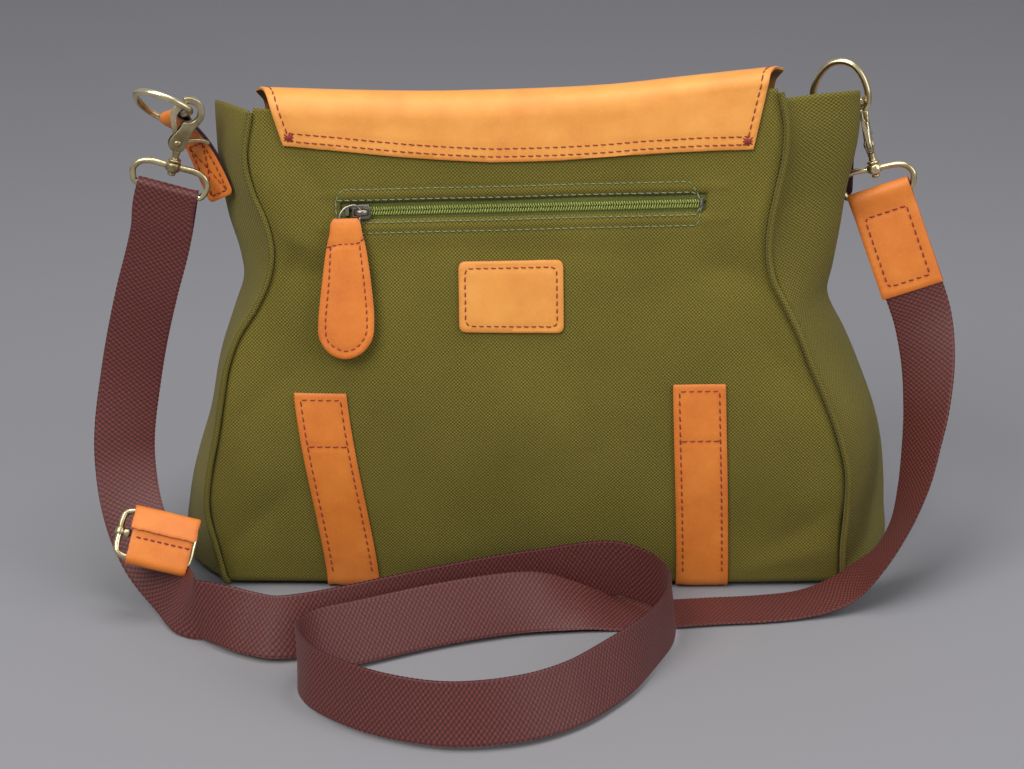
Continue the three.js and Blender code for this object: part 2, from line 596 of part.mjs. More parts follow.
// A tab folds over the ring's bar: long outer layer, arc round the wire, shorter inner layer.
function ringTab(frame, foot, outward, shift, bow) {
  const width = frame.x;
  const rise = plus(frame.o, foot, -1);
  const up = unit(plus(rise, width, -v3(rise).dot(v3(width))));
  let normal = unit(cross(width, up));
  if (v3(normal).dot(v3(outward)) < 0) normal = plus([0, 0, 0], normal, -1);
  const reach = v3(rise).dot(v3(up));
  const bent = (s) => bow * Math.sin(Math.PI * Math.min(s / reach, 1));
  const at = (s, n) => plus(plus(plus(frame.o, up, s - reach), normal, n - bent(s)), width, shift);
  const layer = 1.15;
  const turn = 3.5;
  const path = [at(0, layer), at(reach * 0.35, layer), at(reach * 0.7, layer), at(reach - 9, layer + 0.1),
    at(reach - 4.5, 2.5)];
  for (let i = 0; i <= 6; i += 1) {
    const angle = Math.PI * i / 6;
    path.push(at(reach + turn * Math.sin(angle), turn * Math.cos(angle)));
  }
  path.push(at(reach - 4.5, -2.5), at(reach - 9, -layer - 0.1), at(reach * 0.7, -layer),
    at(reach * 0.35, -layer));
  return ribbon(path.map((p) => [p, width]), TAB_WIDTH, 1.9);
}
add('tab_left', ringTab(LEFT_RING, [-209, -6, 249], [-1, -1, 0], -4.6, 5), 'leather');
add('tab_right', ringTab(RIGHT_RING, [184, 25, 238], [1, 1, 0.2], 0, 0), 'leather');

// ---------------------------------------------------------------- trigger hooks
// Hook frame: o in the middle of the claw's opening, y up the hook, x across, n through the claw.
// The ring's wire lies against the claw's back, which leaves the gate room to open.
const LEFT_SEAT = [0, 0];             // from the wire to the middle of the claw's opening, across and up
const RIGHT_SEAT = [-2.2, -1.6];
function hookFrame(grip, up, through, seat) {
  const y = unit(up);
  const n = unit(plus(through, y, -v3(through).dot(v3(y))));
  const x = cross(y, n);
  return { o: plus(plus(grip, y, seat[1]), x, seat[0]), x, y, n };
}
const arc = (r, from, to, steps) => Array.from({ length: steps + 1 }, (_, i) => {
  const angle = THREE.MathUtils.degToRad(lerp(from, to, i / steps));
  return [r * Math.cos(angle), r * Math.sin(angle)];
});

function claw(frame) {
  const outline = [
    ...arc(10.3, 118, -32, 9),
    [5.8, -11], [4.6, -16], [3.6, -21],
    [2.6, -24.4], [0.4, -26.2], [-3.0, -26.4], [-6.0, -24.6], [-7.4, -21.4], [-6.8, -18], [-4.4, -13.5],
    [-2.4, -9.5],
    ...arc(6.2, -102, 118, 11),
  ];
  const half = HOOK_THICKNESS / 2;
  const body = prism(outline, -half, half, frame, [circle(-2, -20.5, 1.7, 10)]);
  const slot = prism([[-13, -24.1], [14, -24.1], [14, -11.5], [1.2, -11.5], [-0.4, -5.5], [-13, -5.5]],
    -HOOK_SLOT / 2, HOOK_SLOT / 2, frame);
  const post = { o: inFrame(frame, -1, 0), x: frame.x, y: frame.n, n: frame.y };
  const neck = turned([[0, -39.6], [1.5, -39.6], [1.5, -32.6], [4.0, -32.6], [4.0, -31.2], [2.2, -31.0],
    [2.2, -25.2], [0, -25.2]], 12, post);
  return join(cut(body, slot), neck);
}

function gate(frame) {
  const tip = arc(24.6, 104.6, 93.7, 3).map(([x, y]) => [x - 2, y - 20.5]);
  const outline = [...tip, [-4.2, 1.6], [-6.2, -3], [-5.0, -9], [-2.6, -15.0], [0.8, -17.2],
    [6, -16.4], [13, -15.6], [17.5, -16.4], [17.6, -17.8], [13, -17.4], [6, -18.6], [1.1, -20.6],
    [0.3, -22.4], [-2.0, -23.5], [-4.2, -22.6], [-5.0, -20.6], [-6.0, -15], [-8.4, -9], [-10.0, -3]];
  const half = GATE_THICKNESS / 2;
  return prism(outline, -half, half, frame, [circle(-2, -20.5, 1.6, 10)]);
}

function rivet(frame) {
  const half = HOOK_THICKNESS / 2;
  const axis = { o: inFrame(frame, -2, -20.5), x: frame.x, y: frame.y, n: frame.n };
  return turned([[0, -half - 1.2], [1.8, -half - 1.2], [2.4, -half - 0.3], [1.1, -half - 0.3],
    [1.1, half + 0.3], [2.4, half + 0.3], [1.8, half + 1.2], [0, half + 1.2]], 10, axis);
}

function swivelCap(frame) {
  const axis = { o: inFrame(frame, -1, 0), x: frame.x, y: frame.n, n: frame.y };
  return turned([[0, -42.2], [1.9, -42.2], [2.7, -41.4], [2.7, -40.0], [0, -40.0]], 12, axis);
}

// The bail hangs from the swivel post and turns on it, so it has a frame of its own.
function bailFrame(frame, across) {
  const x = unit(plus(across, frame.y, -v3(across).dot(v3(frame.y))));
  return { o: inFrame(frame, -1, 0), x, y: frame.y, n: cross(x, frame.y) };
}
function bail(frame) {
  const half = WEBBING_WIDTH / 2;
  const drop = -BAIL_DROP;
  const outline = [[-6, -36.1], [-14, -36.2], [-half - 1, -38.2], [-half - 4.2, -43], [-half - 3.6, drop + 4],
    [-half - 1.6, drop + 0.4], [-half + 3, drop], [0, drop], [half - 3, drop], [half + 1.6, drop + 0.4],
    [half + 3.6, drop + 4], [half + 4.2, -43], [half + 1, -38.2], [14, -36.2], [6, -36.1], [0, -36.1]];
  const loop = wire(outline.map(([x, y]) => inFrame(frame, x, y)), BAIL_WIRE, 34, 8, true);
  const block = prism(box(-5.5, 5.5, -39.2, -33.0), -4, 4, frame);
  const bore = turned([[0, -45], [2.0, -45], [2.0, -30], [0, -30]], 12,
    { o: frame.o, x: frame.x, y: frame.n, n: frame.y });
  return cut(join(loop, block), bore);
}

function hook(side, ring, grip, seat, up, through, across) {
  const frame = hookFrame(inFrame(ring, ...grip), up, through, seat);
  const hanger = bailFrame(frame, across);
  add(`hook_claw_${side}`, claw(frame), 'brass');
  add(`hook_gate_${side}`, gate(frame), 'brass');
  add(`hook_rivet_${side}`, rivet(frame), 'brass');
  add(`swivel_cap_${side}`, swivelCap(frame), 'brass');
  add(`hook_bail_${side}`, bail(hanger), 'brass');
  return { frame, hanger };
}
const leftHook = hook('left', LEFT_RING, [12.5, 0], LEFT_SEAT, [0.27, -0.05, 0.96], [0.25, -0.96, -0.12],
  [0.965, 0, -0.26]);
const rightHook = hook('right', RIGHT_RING, [-14.8, 0], RIGHT_SEAT, [-0.24, 0.1, 0.96], [0.93, -0.2, 0.3],
  [-0.93, 0.2, -0.31]);

// ---------------------------------------------------------------- shoulder strap
// The webbing runs from the left bail, under the adjuster, along the surface to the leather end.
function strapStations(route, steps, offset) {
  const curve = new THREE.CatmullRomCurve3(route.map(v3), false, 'centripetal');
  const last = route.length - 1;
  const stations = [];
  for (let i = 0; i <= steps; i += 1) {
    const t = i / steps;
    const k = Math.min(Math.floor(t * last), last - 1);
    const f = t * last - k;
    const across = unit([3, 4, 5].map((c) => lerp(route[k][c], route[k + 1][c], f)));
    const middle = curve.getPoint(t).toArray();
    const normal = unit(cross(curve.getTangent(t).toArray(), across));
    stations.push([plus(middle, normal, offset(t)), across]);
  }
  return stations;
}
add('strap_webbing', ribbon(strapStations(STRAP_ROUTE, STRAP_STEPS, () => 0),
  WEBBING_WIDTH, WEBBING_THICKNESS), 'webbing');

// The doubled layer goes over the left bail's bar and down behind the long run to the adjuster.
function strapReturn() {
  const bar = inFrame(leftHook.hanger, 0, -BAIL_DROP);
  const up = leftHook.hanger.y;
  const back = unit(plus([0, 1, 0], up, -up[1]));
  const across = leftHook.hanger.x;
  const at = (s, n) => plus(plus(bar, up, s), back, n);
  const path = [[at(-2.6, -3.4), across]];
  for (let i = 0; i <= 6; i += 1) {
    const angle = Math.PI * i / 6;
    path.push([at(3.4 * Math.sin(angle), -3.4 * Math.cos(angle)), across]);
  }
  const behind = strapStations(STRAP_ROUTE, STRAP_STEPS, () => -3.4);
  for (const station of behind.slice(1, 11)) path.push(station);
  return ribbon(path, WEBBING_WIDTH, WEBBING_THICKNESS);
}
add('strap_return', strapReturn(), 'webbing');

// Leather end: a long strip folded over the right bail's bar, sewn to the end of the webbing.
function strapEndLeather() {
  const bar = inFrame(rightHook.hanger, 0, -BAIL_DROP);
  const up = rightHook.hanger.y;
  const across = rightHook.hanger.x;
  const front = unit(plus([0, -1, 0], up, up[1]));
  const foot = [238.6, -9.4, 187.5];
  const down = unit(plus(foot, bar, -1));
  const length = v3(plus(foot, bar, -1)).length();
  const at = (s, n) => plus(plus(bar, down, s), front, n);
  const path = [];
  for (const s of [length, length * 0.75, length * 0.5, length * 0.25]) path.push(at(s, 1.5));
  path.push(at(5, 2.4));
  for (let i = 0; i <= 6; i += 1) {
    const angle = Math.PI * i / 6;
    path.push(plus(plus(bar, front, 3.6 * Math.cos(angle)), down, -3.6 * Math.sin(angle)));
  }
  path.push(at(5, -2.4));
  for (const s of [length * 0.25, length * 0.5, length * 0.75, length]) path.push(at(s, -1.5));
  return ribbon(path.map((p) => [p, across]), WEBBING_WIDTH - 3, 2.0);
}
add('strap_end_leather', strapEndLeather(), 'leather');

// ---------------------------------------------------------------- adjuster
// Frame of the slide: x to the right across the strap, y up the strap, n away from the strap.
const ADJUSTER = ringFrame([-242.2, -96, 54.5], [0.92, 0.02, -0.25], [-0.16, 0.53, 0.82]);
function slideFrame(frame) {
  const w = 23;
  const h = 14.5;
  const outline = [[0, h], [-w + 6, h], [-w + 1.2, h - 2.2], [-w, h - 7], [-w, 0], [-w, -h + 7],
    [-w + 1.2, -h + 2.2], [-w + 6, -h], [0, -h], [w - 6, -h], [w - 1.2, -h + 2.2], [w, -h + 7], [w, 0],
    [w, h - 7], [w - 1.2, h - 2.2], [w - 6, h]];
  return wire(outline.map(([x, y]) => inFrame(frame, x, y)), 2.0, 32, 8, true);
}
add('adjuster_frame', slideFrame(ADJUSTER), 'brass');
add('adjuster_bar', turned([[0, -20.6], [2.9, -20.6], [2.9, -16.8], [1.8, -16.4], [1.8, 16.4], [2.9, 16.8],
  [2.9, 20.6], [0, 20.6]], 10, { o: ADJUSTER.o, x: ADJUSTER.y, y: ADJUSTER.n, n: ADJUSTER.x }), 'brass');

// A leather wrap folds over one long side of the slide.
function adjusterWrap(barAt, inward, frontLength, backLength, width, shift) {
  const at = (s, n) => inFrame(ADJUSTER, shift, barAt + inward * s, n);
  const path = [at(frontLength, 3.4), at(frontLength * 0.5, 3.5)];
  for (let i = 0; i <= 6; i += 1) {
    const angle = Math.PI * i / 6;
    path.push(at(-3.5 * Math.sin(angle), 3.5 * Math.cos(angle)));
  }
  path.push(at(backLength, -3.5));
  return ribbon(path.map((p) => [p, ADJUSTER.x]), width, 1.8);
}
add('adjuster_wrap_upper', adjusterWrap(14.5, -1, 8, 7, 30, 1), 'leather');
add('adjuster_wrap_lower', adjusterWrap(-14.5, 1, 17.5, 9, 30, 1), 'leather');

// ---------------------------------------------------------------- flap over the top and the front
const FLAP_HINGE = [0, -37.5, 323.5];
const FOLD_HINGE = [0, 41.5, 302];
// Height of the flap's underside between its two hinges: it rises over the back edge, then slopes down.
const FLAP_CREST = [[-36, 324.2], [-28, 327.4], [-20, 327.4], [-8, 324.5], [8, 318.5], [22, 312], [33, 306],
  [41, 301.2]];
function flapTop() {
  const sheet = (offset) => (u, v) => {
    const y = lerp(-35.8, 41, v);
    const x = lerp(-175, 151, u);
    return [x, y, curveAt(FLAP_CREST, y) + offset];
  };
  return plate(8, 8, sheet(LEATHER), sheet(0));
}
add('flap_top', flapTop(), 'leather');

const FLAP_LOW = 92;
function flapSide(v) {
  return lerp(0, 8, v) + 24 * Math.max(0, v - 0.86) ** 2 / 0.0196 * 0.6;
}
function flapFront() {
  const sheet = (offset) => (u, v) => {
    const z = lerp(301, FLAP_LOW, v);
    const x = lerp(-175 + flapSide(v), 151 - flapSide(v), u);
    const lip = 3.0 * Math.max(0, 1 - v / 0.06) ** 2;
    return [x, frontY(x, z) + FLAP_GAP + offset + 1.5 - lip * 0.5, z];
  };
  return plate(12, 16, sheet(LEATHER), sheet(0));
}
add('flap_front', flapFront(), 'leather');

const CLOSURES = { left: -117.5, right: 105.5 };
const CLOSURE_GAP = 0.9;
const FLAP_FACE = FLAP_GAP + 1.5 + LEATHER;      // flap's outer face, from the front panel's face
const TAIL_HINGE_Z = 104;
const BUCKLE_TOP = 168;
const BUCKLE_HEIGHT = 30;
const worldFrame = (x, y, z) => ({ o: [x, y, z], x: [1, 0, 0], y: [0, 0, 1], n: [0, 1, 0] });

// Frame of a buckle: x across, y down the strap, n out of it, o on the hinge bar.
function buckleAxes(x) {
  const seat = (z) => frontY(x, z) + FLAP_FACE + CLOSURE_GAP + LEATHER;
  const down = unit([0, seat(BUCKLE_TOP - BUCKLE_HEIGHT) - seat(BUCKLE_TOP), -BUCKLE_HEIGHT]);
  return { o: [x, seat(BUCKLE_TOP) + 5.2, BUCKLE_TOP], x: [1, 0, 0], y: down, n: cross(down, [1, 0, 0]) };
}

function buckleFrame(axes) {
  const w = 19.5;
  const h = BUCKLE_HEIGHT;
  const outline = [[0, 0], [-w + 4, 0], [-w + 0.8, 1.2], [-w, 5], [-w, h / 2], [-w, h - 5],
    [-w + 0.8, h - 1.2], [-w + 4, h], [0, h], [w - 4, h], [w - 0.8, h - 1.2], [w, h - 5],
    [w, h / 2], [w, 5], [w - 0.8, 1.2], [w - 4, 0]];
  return wire(outline.map(([px, py]) => inFrame(axes, px, py)), 1.6, 28, 6, true);
}

function buckleProng(axes) {
  const out = axes.n[1] > 0 ? axes.n : plus([0, 0, 0], axes.n, -1);
  const side = { o: axes.o, x: axes.y, y: out, n: axes.x };
  const eye = prism(circle(0, 0, 3.6, 12), -1.5, 1.5, side, [circle(0, 0, 2.1, 10)]);
  const tongue = prism([[2.3, 2.1], [2.3, 4.2], [BUCKLE_HEIGHT + 1.5, 4.2], [BUCKLE_HEIGHT + 3, 3.2],
    [BUCKLE_HEIGHT + 3, 2.1]], -1.4, 1.4, side);
  return join(eye, tongue);
}

for (const [side, x] of Object.entries(CLOSURES)) {
  const faceAt = (z) => frontY(x, z);
  const strip = (low, high, offset, taper, nv) => {
    const sheet = (extra) => (u, v) => {
      const z = lerp(high, low, v);
      const half = 16.5 - taper * Math.max(0, v - 0.7) ** 2;
      return [x + lerp(-half, half, u), faceAt(z) + offset + extra, z];
    };
    return plate(2, nv, sheet(LEATHER), sheet(0));
  };
  add(`closure_strap_${side}`, strip(TAIL_HINGE_Z + 0.7, 205, FLAP_FACE + CLOSURE_GAP, 0, 6), 'leather');
  add(`closure_tail_${side}`, strip(54, TAIL_HINGE_Z - 1.3, FLAP_FACE + CLOSURE_GAP, 60, 4), 'leather');
  const snapZ = 73;
  const snapY = faceAt(snapZ);
  add(`snap_socket_${side}`, turned([[0, GAP + LEATHER + 0.5], [7.5, GAP + LEATHER + 0.5],
    [7.5, GAP + LEATHER + 1.7], [0, GAP + LEATHER + 1.7]], 14, worldFrame(x, snapY, snapZ)), 'brass');
  add(`snap_stud_${side}`, turned([[0, GAP + LEATHER + 2.1], [6.5, GAP + LEATHER + 2.1],
    [6.5, FLAP_FACE + CLOSURE_GAP - 0.6], [0, FLAP_FACE + CLOSURE_GAP - 0.6]], 14, worldFrame(x, snapY, snapZ)), 'brass');
  add(`buckle_frame_${side}`, buckleFrame(buckleAxes(x)), 'brass');
  add(`buckle_prong_${side}`, buckleProng(buckleAxes(x)), 'brass');
}

bag.position.set(...ORIGIN_SHIFT);
bag.updateMatrixWorld(true);
export default bag;
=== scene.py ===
"""A canvas messenger bag with a leather flap, seen from its zipped back. Metres, +Z up."""
import json
import math

import bmesh
import bpy
import numpy as np
from mathutils import Vector, noise
from mathutils.geometry import delaunay_2d_cdt
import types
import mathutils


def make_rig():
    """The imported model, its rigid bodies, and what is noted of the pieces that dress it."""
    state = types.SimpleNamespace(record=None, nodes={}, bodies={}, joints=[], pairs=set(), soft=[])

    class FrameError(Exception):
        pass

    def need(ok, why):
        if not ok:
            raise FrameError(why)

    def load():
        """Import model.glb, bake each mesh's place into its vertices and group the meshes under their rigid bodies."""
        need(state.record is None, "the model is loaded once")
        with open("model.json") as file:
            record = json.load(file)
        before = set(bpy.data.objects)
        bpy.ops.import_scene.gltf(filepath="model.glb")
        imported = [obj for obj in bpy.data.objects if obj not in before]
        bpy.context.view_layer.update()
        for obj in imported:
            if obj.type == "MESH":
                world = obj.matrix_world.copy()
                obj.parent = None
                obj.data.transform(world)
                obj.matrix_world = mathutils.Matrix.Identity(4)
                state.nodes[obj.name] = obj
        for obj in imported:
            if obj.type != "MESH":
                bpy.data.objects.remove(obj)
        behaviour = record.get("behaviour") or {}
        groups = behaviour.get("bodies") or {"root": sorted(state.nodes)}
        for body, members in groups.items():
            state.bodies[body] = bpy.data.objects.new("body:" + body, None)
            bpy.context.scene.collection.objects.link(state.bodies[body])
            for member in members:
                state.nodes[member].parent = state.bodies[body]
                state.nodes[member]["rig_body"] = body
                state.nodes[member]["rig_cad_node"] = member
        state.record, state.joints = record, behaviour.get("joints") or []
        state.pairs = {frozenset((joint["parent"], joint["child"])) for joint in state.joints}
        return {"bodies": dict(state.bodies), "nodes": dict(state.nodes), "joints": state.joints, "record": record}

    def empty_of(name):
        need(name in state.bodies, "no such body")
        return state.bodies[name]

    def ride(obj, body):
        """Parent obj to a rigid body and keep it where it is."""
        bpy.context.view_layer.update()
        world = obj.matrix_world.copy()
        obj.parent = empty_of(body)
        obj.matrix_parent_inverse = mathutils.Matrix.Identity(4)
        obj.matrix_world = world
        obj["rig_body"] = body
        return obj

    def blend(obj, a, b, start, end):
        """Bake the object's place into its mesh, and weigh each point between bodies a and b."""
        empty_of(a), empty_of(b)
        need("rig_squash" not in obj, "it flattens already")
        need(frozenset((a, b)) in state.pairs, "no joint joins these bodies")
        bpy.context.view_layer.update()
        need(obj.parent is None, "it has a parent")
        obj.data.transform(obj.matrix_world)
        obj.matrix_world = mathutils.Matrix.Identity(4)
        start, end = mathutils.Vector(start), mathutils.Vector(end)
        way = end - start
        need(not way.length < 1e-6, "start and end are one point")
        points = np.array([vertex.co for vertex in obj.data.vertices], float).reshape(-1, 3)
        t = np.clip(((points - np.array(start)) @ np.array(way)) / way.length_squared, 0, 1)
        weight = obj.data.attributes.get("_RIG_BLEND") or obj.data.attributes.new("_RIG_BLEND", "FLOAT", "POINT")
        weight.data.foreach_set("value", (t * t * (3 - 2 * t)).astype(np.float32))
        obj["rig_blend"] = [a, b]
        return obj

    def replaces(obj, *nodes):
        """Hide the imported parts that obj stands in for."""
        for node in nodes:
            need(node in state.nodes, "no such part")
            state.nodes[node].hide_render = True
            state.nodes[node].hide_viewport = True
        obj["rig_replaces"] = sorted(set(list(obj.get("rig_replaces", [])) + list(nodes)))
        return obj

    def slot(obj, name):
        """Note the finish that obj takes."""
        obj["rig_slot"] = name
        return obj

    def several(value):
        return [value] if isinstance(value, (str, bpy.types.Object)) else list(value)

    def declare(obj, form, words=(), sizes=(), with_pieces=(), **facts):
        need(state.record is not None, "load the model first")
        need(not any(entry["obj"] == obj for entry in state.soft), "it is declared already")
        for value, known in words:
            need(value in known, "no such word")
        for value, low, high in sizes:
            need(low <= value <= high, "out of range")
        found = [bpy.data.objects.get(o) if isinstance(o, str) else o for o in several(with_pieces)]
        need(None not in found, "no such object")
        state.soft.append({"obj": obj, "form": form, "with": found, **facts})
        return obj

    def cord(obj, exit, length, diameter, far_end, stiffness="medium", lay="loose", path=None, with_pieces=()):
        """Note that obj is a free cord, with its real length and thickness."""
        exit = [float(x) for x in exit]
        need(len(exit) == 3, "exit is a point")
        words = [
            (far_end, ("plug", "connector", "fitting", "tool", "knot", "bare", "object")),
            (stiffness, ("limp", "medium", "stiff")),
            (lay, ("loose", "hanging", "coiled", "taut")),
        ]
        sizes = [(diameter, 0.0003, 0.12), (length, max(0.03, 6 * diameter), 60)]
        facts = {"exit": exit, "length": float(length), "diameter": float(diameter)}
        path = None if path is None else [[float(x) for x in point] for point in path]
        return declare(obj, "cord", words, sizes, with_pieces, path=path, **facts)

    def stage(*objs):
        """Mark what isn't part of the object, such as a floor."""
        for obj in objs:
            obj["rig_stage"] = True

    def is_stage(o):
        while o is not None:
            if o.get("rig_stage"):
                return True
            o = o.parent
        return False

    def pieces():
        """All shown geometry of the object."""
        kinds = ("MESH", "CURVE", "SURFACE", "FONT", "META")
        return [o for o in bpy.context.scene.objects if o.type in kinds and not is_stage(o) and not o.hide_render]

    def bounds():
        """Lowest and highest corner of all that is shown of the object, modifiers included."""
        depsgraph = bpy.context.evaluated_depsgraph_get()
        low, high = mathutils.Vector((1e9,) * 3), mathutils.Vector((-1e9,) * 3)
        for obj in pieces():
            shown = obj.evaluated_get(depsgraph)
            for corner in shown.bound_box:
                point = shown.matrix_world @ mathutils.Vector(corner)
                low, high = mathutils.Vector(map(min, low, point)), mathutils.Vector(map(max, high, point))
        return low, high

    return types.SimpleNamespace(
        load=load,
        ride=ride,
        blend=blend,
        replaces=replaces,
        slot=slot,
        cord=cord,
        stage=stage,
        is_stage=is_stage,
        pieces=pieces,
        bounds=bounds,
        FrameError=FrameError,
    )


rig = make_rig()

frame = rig.load()
CAD_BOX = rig.bounds()

# ------------------------------------------------------------------ driving dimensions, millimetres
MM = 0.001
BAG_MIDDLE = (6.2, -6.2)        # the bag's own middle, seen from the frame's origin
PANEL_TOP = 322.0
# The flap's highest line over the back edge, as x and height.
FLAP_CREST = [[-175, 318.0], [-114, 316.0], [-54, 315.5], [37, 319.0], [98, 325.5], [152, 331.5]]
GUSSET_TOP = 315.0
LINING_DROP = 8.0               # the lining's edge lies this far under the canvas edge
MOUTH_DROP = 24.0               # the mouth slopes down by this from the back to the front
CANVAS = 1.3
LEATHER = 2.0
GAP = 0.4                       # between a sewn piece and the canvas it lies on
BASE_RADIUS = 6.0               # of the turn from a face to the base
BASE_Z = 2.4                    # underside of the canvas where a strap runs under it
TURN_TOP = BASE_Z + BASE_RADIUS
TURN_LENGTH = BASE_RADIUS * math.pi / 2
LOWEST_W = TURN_TOP - TURN_LENGTH   # where a face, unrolled, meets the base
BASE_HALF_DEPTH = 62.0
SEAM_INSET = 1.6                # the canvas ends this far inside the line of the piping
SEAM_DIP = 1.5                  # the canvas is drawn in by this along a seam
UNDER_FLAP = 7.5                # the canvas edge lies this far under the flap's highest line
GUSSET_RISE = 9.0               # the mouth edge of a gusset arches up by this
PIPING_RADIUS = 2.1
FLAP_GAP = 5.5
FLAP_LOW = 92.0
FLAP_LEFT = -174.5
FLAP_RIGHT = 152.0
YOKE_CORNERS = (-157, -121, -85, -29, 13, 62, 99, 131)
FLAP_SPLIT = 8                  # the profile point where the two visible halves meet
FLAP_SPAN = 10                  # points of the profile's curve between two of its own
# Where the leather bends: the two bodies, and where the turn starts and ends.
BACK_FOLD = (("bag", "flap_top"), (0, -40.5, 318.0), (0, -24.0, 327.0))
FRONT_FOLD = (("flap_top", "flap_front"), (0, 26.0, 313.0), (0, 45.0, 292.0))
RING_WIRE = 2.2
RING_HALF_WIDTH = 17.5
RING_HEIGHT = 29.0
TAB_WIDTH = 20.0
HOOK_THICKNESS = 4.4
HOOK_SLOT = 2.6
GATE_THICKNESS = 2.0
BAIL_WIRE = 2.0
BAIL_DROP = 52.0
WEBBING_WIDTH = 38.0
WEBBING_THICKNESS = 1.6
ZIP_START = (-112.0, 247.8)
ZIP_END = (99.0, 253.0)
ZIP_FACE = -46.5
WINDOW_LEFT = ZIP_START[0] - 9
WINDOW_RIGHT = ZIP_END[0] + 4
WINDOW_HALF = 5.2               # half the height of the opening over the zip
COIL_PITCH = 1.55
PULL_LEAN = 0.06                # the puller leans out of the panel's plane by this slope
CLOSURES = {"left": -117.5, "right": 105.5}     # where the closures and base straps lie across
BASE_STRAP_HALF = 16.5
FRONT_STRAP_TOP = 88.0
CLOSURE_GAP = 0.9
TAIL_HINGE_Z = 104.0
BUCKLE_TOP = 168.0
BUCKLE_HEIGHT = 30.0
BUCKLE_HALF_WIDTH = 19.5
SNAP_Z = 73.0
ADJUSTER_HALF_WIDTH = 23.0
ADJUSTER_HALF_HEIGHT = 14.5
LEFT_SEAT = (0, 0)              # from the wire to the middle of the claw's opening, across and up
RIGHT_SEAT = (-2.2, -1.6)
WEAVE_ACROSS = 2.05             # half the pitch of the webbing's weave, across and along
WEAVE_ALONG = 1.50
WEAVE_HEIGHT = 0.34
DOUBLED_LOW = 42.0              # height where the doubled layer of webbing ends
STATION_STEP = 0.85
ROUTE_SPAN = 24                 # points of the strap's curve between two points of its route
YARN_WAVER = 0.35               # how unevenly the yarns of the canvas lie
TURNED_SIDES = 28
THREAD = 0.42                   # radius of the sewing thread
STITCH_PITCH = 4.9
STITCH_LENGTH = 3.7

# Outline of the bag, as [height, value] rows.
PIPE_LEFT = [[0, -199], [20, -203], [45, -208], [65, -210], [85, -206], [115, -200], [145, -195],
             [165, -189], [190, -174], [213, -165], [235, -166], [262, -176], [285, -180], [300, -178],
             [322, -171]]
PIPE_RIGHT = [[0, 196], [43, 195], [65, 197], [85, 195], [110, 188], [130, 180], [150, 171],
              [170, 163], [188, 154], [206, 145], [225, 142], [247, 144], [271, 149], [292, 152],
              [308, 150], [322, 147]]
CREST_LEFT = [[0, -228], [25, -229], [50, -226], [77, -219], [105, -210], [143, -202], [172, -193],
              [194, -186], [212, -188], [235, -195], [265, -199], [300, -201], [322, -199]]
CREST_RIGHT = [[0, 226], [15, 231], [35, 229], [77, 224], [105, 217], [130, 208], [154, 198],
               [181, 185], [200, 187], [225, 191], [248, 194], [287, 199], [322, 199]]
EDGE_DEPTH = [[0, 59], [30, 61], [80, 62], [120, 60], [160, 56], [200, 51], [240, 46.5], [280, 41],
              [322, 34]]
MIDDLE_DEPTH = [[0, 60], [30, 66], [80, 69], [120, 67], [160, 61], [200, 54], [240, 47],
                [280, 41.5], [322, 34]]

# Soft folds of a face: [x, z] to [x, z], how far it stands out, and how wide it is.
BACK_FOLDS = [
    ((-170, 216), (-112, 203), -3.6, 13), ((-176, 240), (-140, 226), 1.6, 9),
    ((-150, 292), (-128, 246), -1.5, 7), ((-162, 270), (-150, 232), 1.2, 7),
    ((150, 205), (104, 214), -2.8, 14), ((134, 262), (118, 210), -1.3, 12),
    ((-2, 18), (0, 160), -0.7, 2.6), ((2, 225), (1, 180), -0.4, 3.0),
    ((-205, 20), (-160, 66), -1.6, 9), ((-196, 110), (-150, 150), -1.4, 12),
    ((196, 60), (150, 30), -1.6, 10), ((178, 130), (140, 165), -1.5, 12),
    ((-80, 8), (-20, 22), -1.0, 9), ((30, 20), (84, 8), -1.2, 9), ((128, 12), (180, 26), 1.5, 10),
    ((-60, 120), (60, 128), 1.4, 34), ((-90, 226), (60, 222), -0.8, 9),
    ((128, 150), (126, 60), 1.2, 16), ((-150, 110), (-152, 40), 1.0, 14),
]
FRONT_FOLDS = [
    ((-190, 30), (-140, 70), -1.6, 10), ((180, 40), (130, 80), -1.6, 10), ((0, 20), (0, 120), -0.8, 4),
    ((-165, 214), (-110, 206), -3.0, 13), ((146, 206), (104, 212), -2.6, 13),
]

